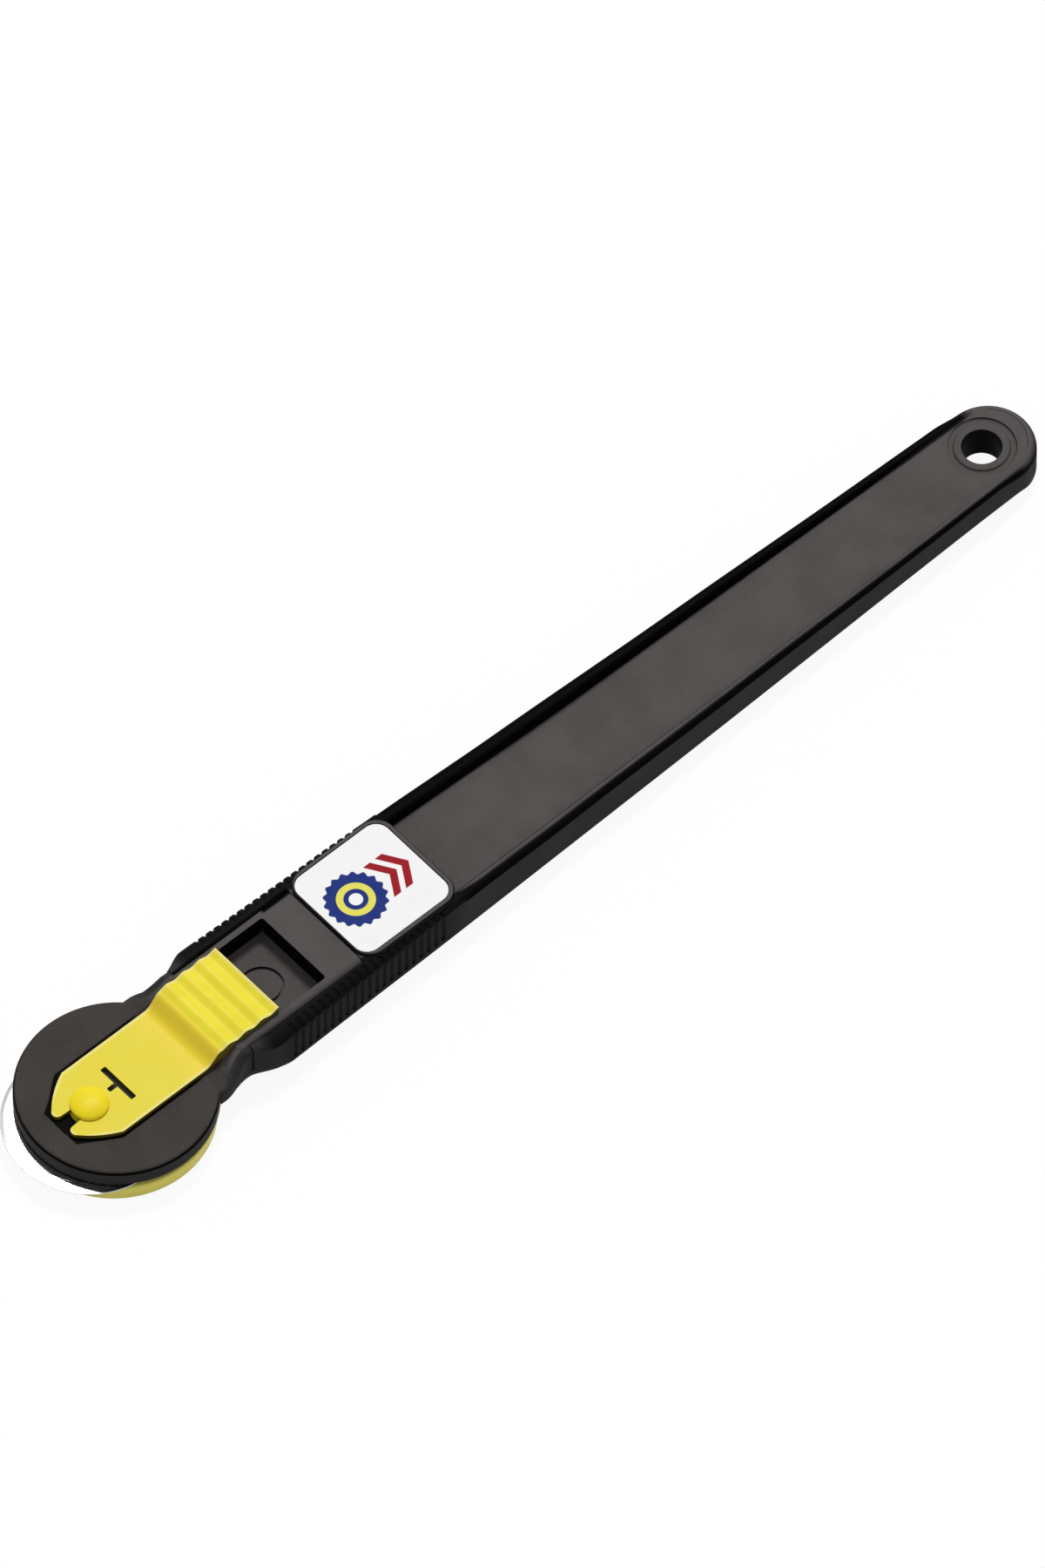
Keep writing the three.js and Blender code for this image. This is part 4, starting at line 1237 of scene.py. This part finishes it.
@dataclass
class HeadFrame:
    """The black round head with its arm and the pocket in which the lever slides."""

    radius: float = 10.45
    bottom: float = 2.4
    top: float = 4.4
    edge: float = 0.45
    neck_start: float = 7.328
    neck_end: float = 12.5
    neck_edge: float = 0.8
    neck_stops: Stops = ((8.0, 7.55), (12.0, 6.55))
    arm_half: float = 5.8
    arm_top: float = 5.9
    arm_edge: float = 0.7
    ramp: tuple[float, float] = (9.7, 11.6)
    arm_rear: float = 27.85
    pocket_half: float = 4.85
    pocket_floor: float = 3.3
    pocket_front: float = 9.75
    pocket_rear: float = 23.8
    mark_x: float = 19.45
    bottom_edge: float = 0.22
    tang: tuple[float, float, float] = (35.95, 4.0, 1.8)
    pocket_corner: float = 0.35
    ramp_cut: Run = (9.0, 12.0)
    tongue_groove: tuple[float, float, Run] = (12.15, 5.3, (3.85, 4.65))
    mark: Stops = ((1.95, 3.0), (2.32, 3.0), (2.32, 3.6), (1.95, 3.6), (1.95, 3.0))
    axle_bore: Stops = ((0, 1), (2.12, 1), (2.12, 4.25), (2.27, 4.4), (2.27, 6), (0, 6))
    washer_radius: float = 4.2
    washer_depth: float = 0.81
    pilot: Stops = ((0, 1), (0.9, 1), (0.9, 3.95), (0, 3.95))

    def disc(self) -> Shell:
        """The round head: a flat disc turned with quarter-circle edges."""
        under = lower_edge(self.radius, self.bottom, self.bottom_edge, 4)
        over = upper_edge(self.radius, self.top, self.edge, 7)
        return Shell.turned([(0, self.bottom), *under, *over, (0, self.top)], 0, steps=160)

    def neck(self) -> Shell:
        """The web to the arm: a plan outline with a fillet, whose round top edge climbs with the ramp."""
        x = np.unique([*np.linspace(self.neck_start, self.neck_end, 22), 9.45, *self.ramp])
        half = eased(x, self.neck_stops)
        top = self.rise(x)
        rings = [(0.0, np.full_like(x, self.bottom))] + [
            (self.neck_edge * (1 - math.cos(a)), top - self.neck_edge * (1 - math.sin(a)))
            for a in arc(0, 90, 6)
        ]
        near = [np.stack([x, inset - half, height], axis=1) for inset, height in rings]
        far = [np.stack([x, half - inset, height], axis=1)[::-1] for inset, height in rings]
        grid = np.stack([np.concatenate(pair) for pair in zip(near, far)])
        return Shell.from_grid(grid)

    def rise(self, x: np.ndarray) -> np.ndarray:
        """The top's height: level, the ramp 0.8 s + 0.2 s s (3 - 2 s) over its run s, then level."""
        low, high = self.ramp
        blend = np.clip((x - low) / (high - low), 0, 1)
        return self.top + (self.arm_top - self.top) * (0.8 * blend + 0.2 * blend * blend * (3 - 2 * blend))

    def arm(self) -> Shell:
        """The arm: a section with round top edges carried from the head over the ramp to the back."""
        x = np.array([7.8, 9.4, 9.55, *np.linspace(*self.ramp, 7), 11.75, 16.0, 22.0, self.arm_rear])
        top = self.rise(x)
        lines = [(-self.arm_half, np.full_like(x, self.bottom))]
        for angle in arc(180, 90, 8):
            y = -self.arm_half + self.arm_edge * (1 + math.cos(angle))
            lines.append((y, top - self.arm_edge * (1 - math.sin(angle))))
        lines += [(-y, z) for y, z in reversed(lines)]
        grid = np.stack([np.stack([x, np.full_like(x, y), z], axis=1) for y, z in lines], axis=1)
        return Shell.from_grid(grid)

    def build(self, plastic: bpy.types.Material) -> bpy.types.Object:
        """Joins head, neck, arm and tang, then cuts the pocket, its grooves and the axle's bore."""
        rear, half, thick = self.tang
        tang = Shell.block((self.arm_rear - 1, -half, self.bottom), (rear, half, self.bottom + thick))
        floor = self.pocket_floor
        pocket = Shell.stacked(
            rounded_rectangle(self.pocket_front, self.pocket_rear, 2 * self.pocket_half, self.pocket_corner),
            [(0.12, floor), (0.03, floor + 0.05), (0, floor + 0.15), (0, 8)],
        )
        start, side, (low, high) = self.tongue_groove
        front, back = self.ramp_cut
        seat_top = self.bottom + self.washer_depth
        washer_seat = [(0, 1), (self.washer_radius, 1), (self.washer_radius, seat_top), (0, seat_top)]
        work = Workpiece.start("head_moulding", self.disc())
        work.carve(Carve.JOIN, self.neck(), self.arm(), tang)
        work.carve(
            Carve.CUT,
            pocket,
            Shell.block((front, -self.pocket_half, self.top), (back, self.pocket_half, 8)),
            Shell.block((start, -side, low), (self.pocket_rear, side, high)),
            Shell.turned(self.mark, self.mark_x, steps=64),
            Shell.turned(self.axle_bore, AXLE_X, steps=64),
            Shell.turned(washer_seat, AXLE_X, steps=96),
            *[Shell.turned(self.pilot, place, steps=32) for place in SCREW_PLACES],
        )
        return work.finish(Body.HANDLE, ["head_frame"], "black_plastic", plastic, edge=0.05)


@dataclass
class ReleaseLever:
    """The yellow sliding lever: forked nose, T slot, ramp and waved thumb rest."""

    tip: float = -7.25
    taper: float = 4.05
    bulge: float = 0.25
    ramp_start: float = 7.6
    thumb: float = 9.8
    rear: float = 17.5
    half: float = 4.7
    thumb_half: float = 4.82
    bottom: float = 4.45
    top: float = 4.95
    thumb_top: float = 6.75
    thumb_bottom: float = 3.35
    wave_depth: float = 0.32
    waves: float = 3.5
    corner: float = 0.6
    mouth: float = 0.85
    entry: float = 0.8
    neck_seat: float = 1.0
    flank: Stops = ((10.4, 1.0), (10.0, 0.1), (9.4, 0.04), (8.6, 0.0))
    slot_tip: float = -1.1
    slot_bar: Run = (-0.12, 0.56)
    slot_half: float = 2.38
    stem_half: float = 0.28
    nips: tuple[float, float] = (0.08, 0.1)
    tongues: tuple[float, float, Run] = (12.2, 5.15, (3.9, 4.6))

    def side(self) -> Shell:
        """The side profile carried across the width: level, a smooth ramp, then cosine waves."""
        run = np.linspace(0, self.rear - self.thumb, 85)
        phase = (run / (self.rear - self.thumb) * self.waves - 0.5) * 2 * math.pi
        wave = self.thumb_top - self.wave_depth * (1 - np.cos(phase)) / 2
        climb = np.linspace(0, 1, 17)[1:-1]
        ramp_x = self.ramp_start + (self.thumb - self.ramp_start) * climb
        ramp_z = self.top + (wave[0] - self.top) * climb**3 * (4 - 3 * climb)
        top_x = np.concatenate([[self.tip - 1, self.ramp_start], ramp_x, self.thumb + run])
        top_z = np.concatenate([[self.top, self.top], ramp_z, wave])
        x = np.concatenate([top_x, [self.rear, self.thumb, self.thumb, self.tip - 1]])
        z = np.concatenate([top_z, [self.thumb_bottom, self.thumb_bottom, self.bottom, self.bottom]])
        sides = [np.stack([x, np.full_like(x, y), z], axis=1) for y in (-self.thumb_half, self.thumb_half)]
        return Shell.from_grid(np.stack(sides))

    def plan(self) -> np.ndarray:
        """The plan outline: a tapered nose, round prong corners, the mouth and the neck's seat.

        The taper is the curve (1 - t)^2 a + 2 t (1 - t) c + t^2 b from the shoulder a to the corner's
        tangent point b, where c lies twice the bulge outside the middle of the chord.

        Returns:
            Plan places in order round the outline.
        """
        shoulder = np.array([self.tip + self.taper, self.half])
        centre = np.array([self.tip + self.corner, self.mouth + self.corner])
        run, rise = shoulder - centre
        lean = math.atan2(rise, run) + math.acos(self.corner / math.hypot(run, rise))
        outward = np.array([math.cos(lean), math.sin(lean)])
        tangent = centre + self.corner * outward
        pull = (shoulder + tangent) / 2 + 2 * self.bulge * outward
        t = np.linspace(0, 1, 17)[:-1, None]
        turn = math.degrees(math.asin(self.entry / self.neck_seat))
        upper = [
            np.array([(self.rear + 1, self.half + 1), *[(x, self.half + out) for x, out in self.flank]]),
            (1 - t) ** 2 * shoulder + 2 * t * (1 - t) * pull + t**2 * tangent,
            self.bend(*centre, self.corner, math.degrees(lean), 270, 12),
            np.array([[AXLE_X - 2, self.entry]]),
            self.bend(AXLE_X, 0, self.neck_seat, 180 - turn, 0, 14),
        ]
        path = np.concatenate(upper)
        return np.concatenate([path, path[-2::-1] * (1, -1)])

    @staticmethod
    def bend(x: float, y: float, radius: float, start: float, end: float, steps: int) -> np.ndarray:
        """Plan places on an arc about (x, y)."""
        angle = arc(start, end, steps)
        return np.stack([x + radius * np.cos(angle), y + radius * np.sin(angle)], axis=1)

    def slot(self) -> np.ndarray:
        """The T slot's outline with nipped corners, its far half the near one mirrored."""
        short, long = self.nips
        front, rear = self.slot_bar
        near = np.array([
            (self.slot_tip, short - self.stem_half),
            (self.slot_tip + long, -self.stem_half),
            (front, -self.stem_half),
            (front, long - self.slot_half),
            (front + short, -self.slot_half),
            (rear - short, -self.slot_half),
            (rear, long - self.slot_half),
        ])
        return np.concatenate([near, near[::-1] * (1, -1)])

    def build(self, plastic: bpy.types.Material) -> bpy.types.Object:
        """Keeps the profile within the plan, cuts the T slot and joins the guide tongues."""
        start, side, (low, high) = self.tongues
        work = Workpiece.start("lever_moulding", self.side())
        work.carve(Carve.KEEP, Shell.stacked(self.plan(), [(0, 0), (0, 9)]))
        work.carve(Carve.CUT, Shell.stacked(self.slot(), [(0, 0), (0, 9)]))
        work.carve(Carve.JOIN, Shell.block((start, -side, low), (self.rear - 0.01, side, high)))
        return work.finish(Body.LEVER, ["release_lever"], "yellow_plastic", plastic, edge=0.17, sharp=38)


@dataclass
class Axle:
    """The yellow hub that carries blade and guard, with the domed button in the lever's fork."""

    x: float = AXLE_X
    dome_radius: float = 2.0
    dome_base: float = 5.0
    dome_height: float = 0.75
    base: float = 0.3
    flange_radius: float = 4.2
    flange_top: float = 1.0
    flange_edge: float = 0.15
    collar_radius: float = 2.9
    collar_top: float = 2.0
    journal_radius: float = 2.05
    journal_top: float = 4.4
    neck_radius: float = 0.75
    boss_corner: float = 2.454
    boss_run: Run = (0.8, 2.35)

    def build(self, plastic: bpy.types.Material) -> bpy.types.Object:
        """Turns the hub and joins the hexagonal boss for the blade."""
        dome = [
            (self.dome_radius * math.cos(a), self.dome_base + self.dome_height * (0.2 + 0.8 * math.sin(a)))
            for a in arc(0, 90, 12)
        ]
        profile = [
            (0, self.base),
            *lower_edge(self.flange_radius, self.base, self.flange_edge, 3),
            (self.flange_radius, self.flange_top),
            (self.collar_radius, self.flange_top),
            (self.collar_radius, self.collar_top),
            (self.journal_radius, self.collar_top),
            (self.journal_radius, self.journal_top),
            (self.neck_radius, self.journal_top),
            (self.neck_radius, self.dome_base),
            (self.dome_radius - 0.1, self.dome_base),
            (self.dome_radius, self.dome_base + 0.06),
            *dome[:-1],
            (0, dome[-1][1]),
        ]
        corners = arc(0, 300, 5)
        hexagon = self.boss_corner * np.stack([np.cos(corners), np.sin(corners)], axis=1) + (self.x, 0)
        low, high = self.boss_run
        work = Workpiece.start("hub_moulding", Shell.turned(profile, self.x, steps=72))
        work.carve(Carve.JOIN, Shell.stacked(hexagon, [(0, low), (0, high)]))
        return work.finish(Body.ROTOR, ["axle_hub"], "yellow_plastic", plastic)


@dataclass
class BladeGuard:
    """The yellow disc under the head."""

    radius: float = 10.45
    top: float = 1.95
    bottom_edge: float = 0.55
    top_edge: float = 0.27
    x: float = -0.4
    seat: Stops = ((0, -1), (4.45, -1), (4.45, 0), (4.3, 0.15), (4.3, 1.05), (2.97, 1.05), (2.97, 3), (0, 3))

    def build(self, plastic: bpy.types.Material) -> bpy.types.Object:
        """Turns the disc with round edges and cuts the hub's stepped seat."""
        under = lower_edge(self.radius, 0, self.bottom_edge, 7)
        over = upper_edge(self.radius, self.top, self.top_edge, 5)
        disc = Shell.turned([(0, 0), *under, *over, (0, self.top)], self.x, steps=160)
        work = Workpiece.start("guard_moulding", disc)
        work.carve(Carve.CUT, Shell.turned(self.seat, AXLE_X, steps=96))
        return work.finish(Body.HANDLE, ["blade_guard"], "yellow_plastic", plastic)


@dataclass
class CuttingBlade:
    """The round steel blade, ground thin towards its rim, on a hexagonal hole."""

    radius: float = 9.0
    low: float = 2.05
    high: float = 2.35
    rim: float = 0.2
    across_flats: float = 4.3
    grind: float = 1.3

    def build(self, steel: bpy.types.Material) -> bpy.types.Object:
        """A polar grid from a hexagonal hole out to a round rim.

        The hole is flat / cos(angle from the nearest flat), and each ring lies at a share of the way
        from the hole to where the grinding starts. From there the faces close in on the rim.

        Args:
            steel: The blade's finish.

        Returns:
            The finished blade.
        """
        angle = np.linspace(0, 2 * math.pi, 360, endpoint=False)
        sixth = math.pi / 3
        hole = self.across_flats / 2 / np.cos((angle + sixth / 2) % sixth - sixth / 2)
        start = self.radius - self.grind
        shares = np.array([0, 0.02, 0.5, 1.0])
        body = hole[None] + (start - hole[None]) * shares[:, None]
        ground = np.array([start + 0.04, self.radius - 0.03, self.radius])[:, None]
        rings = np.concatenate([body, np.broadcast_to(ground, (3, len(angle)))])
        half = (self.high - self.low) / 2
        thick = np.array([half - 0.02, half, half, half, half - 0.005, self.rim / 2, self.rim / 5])[:, None]
        middle = (self.low + self.high) / 2
        heights = np.concatenate([middle + thick, (middle - thick)[::-1]])
        radii = np.concatenate([rings, rings[::-1]])
        loop = np.empty((len(radii) + 1, len(angle), 3))
        loop[:-1, :, 0] = AXLE_X - radii * np.cos(angle)
        loop[:-1, :, 1] = radii * np.sin(angle)
        loop[:-1, :, 2] = np.broadcast_to(heights, radii.shape)
        loop[-1] = loop[0]
        work = Workpiece.start("round_blade", Shell.from_grid(loop, caps=False))
        return work.finish(Body.ROTOR, ["cutting_blade"], "blade_steel", steel, sharp=5)


@dataclass
class PadLabel:
    """The white film label in its recess on the pad."""

    low_x: float = 28.2
    high_x: float = 40.25
    width: float = 11.75
    corner: float = 1.6
    bottom: float = 6.18
    top: float = 6.3

    def build(self, film: bpy.types.Material) -> bpy.types.Object:
        """A thin rounded rectangle whose upper edge is softly rounded."""
        rings = [(0, self.bottom), (0, self.top - 0.05), (0.02, self.top - 0.015), (0.06, self.top)]
        outline = rounded_rectangle(self.low_x, self.high_x, self.width, self.corner)
        work = Workpiece.start("label_film", Shell.stacked(outline, rings))
        return work.finish(Body.HANDLE, ["label_sticker"], "white_label", film, sharp=60)


@dataclass
class Hardware:
    """The screws and washers, whose own shapes are right and only get their finishes."""

    screws: tuple[str, ...] = ("frame_screw_front", "frame_screw_rear")
    washers: tuple[str, ...] = ("thrust_washer", "spring_washer")

    def build(self, screw: bpy.types.Material, washer: bpy.types.Material) -> None:
        """Puts the finishes on the frame's own nodes."""
        for names, material in ((self.screws, screw), (self.washers, washer)):
            for name in names:
                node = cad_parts[name]
                node.data.materials.clear()
                node.data.materials.append(material)
                log.info("%s: frame node with %s", name, material.name)


# Studio


@dataclass
class Studio:
    """The pale floor, the soft light and the photograph's camera."""

    azimuth: float = -41.8
    elevation: float = 56.0
    lens: float = 900.0
    sensor: float = 36.0
    clip: tuple[float, float] = (0.05, 20)
    view_height: float = 158.0
    aim: Colour = (-0.38, 0.257, 4.3)
    key_strength: float = 1.85
    fill: float = 0.46
    floor_bounce: float = 0.65
    floor_white: float = 0.92
    floor_half: float = 3.0
    floor_drop: float = 0.00006
    key_angle: float = 14.0
    key_towards: Colour = (0.36, 0.32, 0.88)

    def camera(self) -> None:
        """The long-lens camera; the frame's long side is its height."""
        data = bpy.data.cameras.new("photo_camera")
        data.lens = self.lens
        data.sensor_width = self.sensor
        data.clip_start, data.clip_end = self.clip
        made = bpy.data.objects.new("photo_camera", data)
        turn, rise = math.radians(self.azimuth), math.radians(self.elevation)
        back = Vector((math.sin(turn) * math.cos(rise), -math.cos(turn) * math.cos(rise), math.sin(rise)))
        distance = self.view_height * self.lens / self.sensor
        made.location = (Vector(self.aim) + back * distance) * METRES
        made.rotation_mode = "QUATERNION"
        made.rotation_quaternion = (-back).to_track_quat("-Z", "Y")
        bpy.context.scene.collection.objects.link(made)
        bpy.context.scene.camera = made

    def seen(self, graph: Graph) -> Signal:
        """1 for rays from the camera, a mirror or glass, else 0."""
        rays = graph.node("ShaderNodeLightPath", {}, {}).outputs
        seen = Signal(graph, rays["Is Camera Ray"])
        for name in ("Is Glossy Ray", "Is Transmission Ray"):
            seen = seen.math("MAXIMUM", Signal(graph, rays[name]))
        return seen

    def floor(self) -> None:
        """A wide pale floor just under the tool. It looks white and bounces less light than it shows."""
        half, drop = self.floor_half, -self.floor_drop
        corners = [(-half, -half, drop), (half, -half, drop), (half, half, drop), (-half, half, drop)]
        mesh = bpy.data.meshes.new("floor")
        mesh.from_pydata(corners, [], [(0, 1, 2, 3)])
        graph = Graph("studio_floor")
        seen = self.seen(graph)
        colour = graph.mix(seen, (self.floor_bounce,) * 3, (1.0, 1.0, 1.0))
        matt = graph.node("ShaderNodeBsdfDiffuse", {}, {"Color": colour})
        white = graph.node("ShaderNodeEmission", {}, {"Color": (1, 1, 1, 1), "Strength": 1.0})
        mixed = {0: seen * self.floor_white, 1: matt.outputs[0], 2: white.outputs[0]}
        shown = graph.node("ShaderNodeMixShader", {}, mixed)
        graph.node("ShaderNodeOutputMaterial", {}, {"Surface": shown.outputs[0]})
        mesh.materials.append(graph.material)
        made = bpy.data.objects.new("studio_floor", mesh)
        bpy.context.scene.collection.objects.link(made)

    def lights(self) -> None:
        """One broad soft key from above and behind, over an even fill from the world."""
        sun = bpy.data.lights.new("soft_key", "SUN")
        sun.energy = self.key_strength
        sun.angle = math.radians(self.key_angle)
        made = bpy.data.objects.new("soft_key", sun)
        made.rotation_mode = "QUATERNION"
        made.rotation_quaternion = Vector(self.key_towards).to_track_quat("Z", "Y")
        bpy.context.scene.collection.objects.link(made)
        world = bpy.data.worlds.new("studio")
        bpy.context.scene.world = world
        graph = Graph.of_world(world)
        colour = graph.mix(self.seen(graph), (self.fill,) * 3, (1.0, 1.0, 1.0))
        light = graph.node("ShaderNodeBackground", {}, {"Color": colour, "Strength": 1.0})
        graph.node("ShaderNodeOutputWorld", {}, {"Surface": light.outputs[0]})

    def build(self) -> None:
        """Sets up the whole studio."""
        self.camera()
        self.floor()
        self.lights()
        bpy.context.scene.view_settings.view_transform = "Standard"


def row_place(x: float, z: float) -> Colour:
    """A place on the middle plane in millimetres in the row frame."""
    return (x + HEAD_CENTRE_X, 0.0, z)


def main() -> None:
    """Builds the cutter and the studio, and reports each piece."""
    logging.basicConfig(level=logging.INFO, format="%(name)s: %(message)s")
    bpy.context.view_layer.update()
    Studio().build()
    yellow = BrightPlastic("bright_yellow", body=(0.95, 0.88, 0.2), deep=(0.9, 0.8, 0.15)).material()
    Handle().build(HandlePlastic("handle_black").material())
    HeadFrame().build(HeadPlastic("head_black").material())
    ReleaseLever().build(LeverPlastic("lever_yellow").material())
    hub = BrightPlastic("deep_yellow", body=(0.88, 0.73, 0.02), deep=(0.84, 0.65, 0.015))
    Axle().build(hub.material())
    BladeGuard().build(yellow)
    CuttingBlade().build(GroundSteel("ground_steel", row_place(AXLE_X, 2.2)).material())
    PadLabel().build(PrintedFilm("printed_film", row_place(34.225, 6.3)).material())
    screws = PlatedSteel("plated_screws", bright=(0.52, 0.52, 0.54))
    Hardware().build(screws.material(), PlatedSteel("rolled_washers").material())
    bpy.context.view_layer.update()


if __name__ == "__main__":
    main()
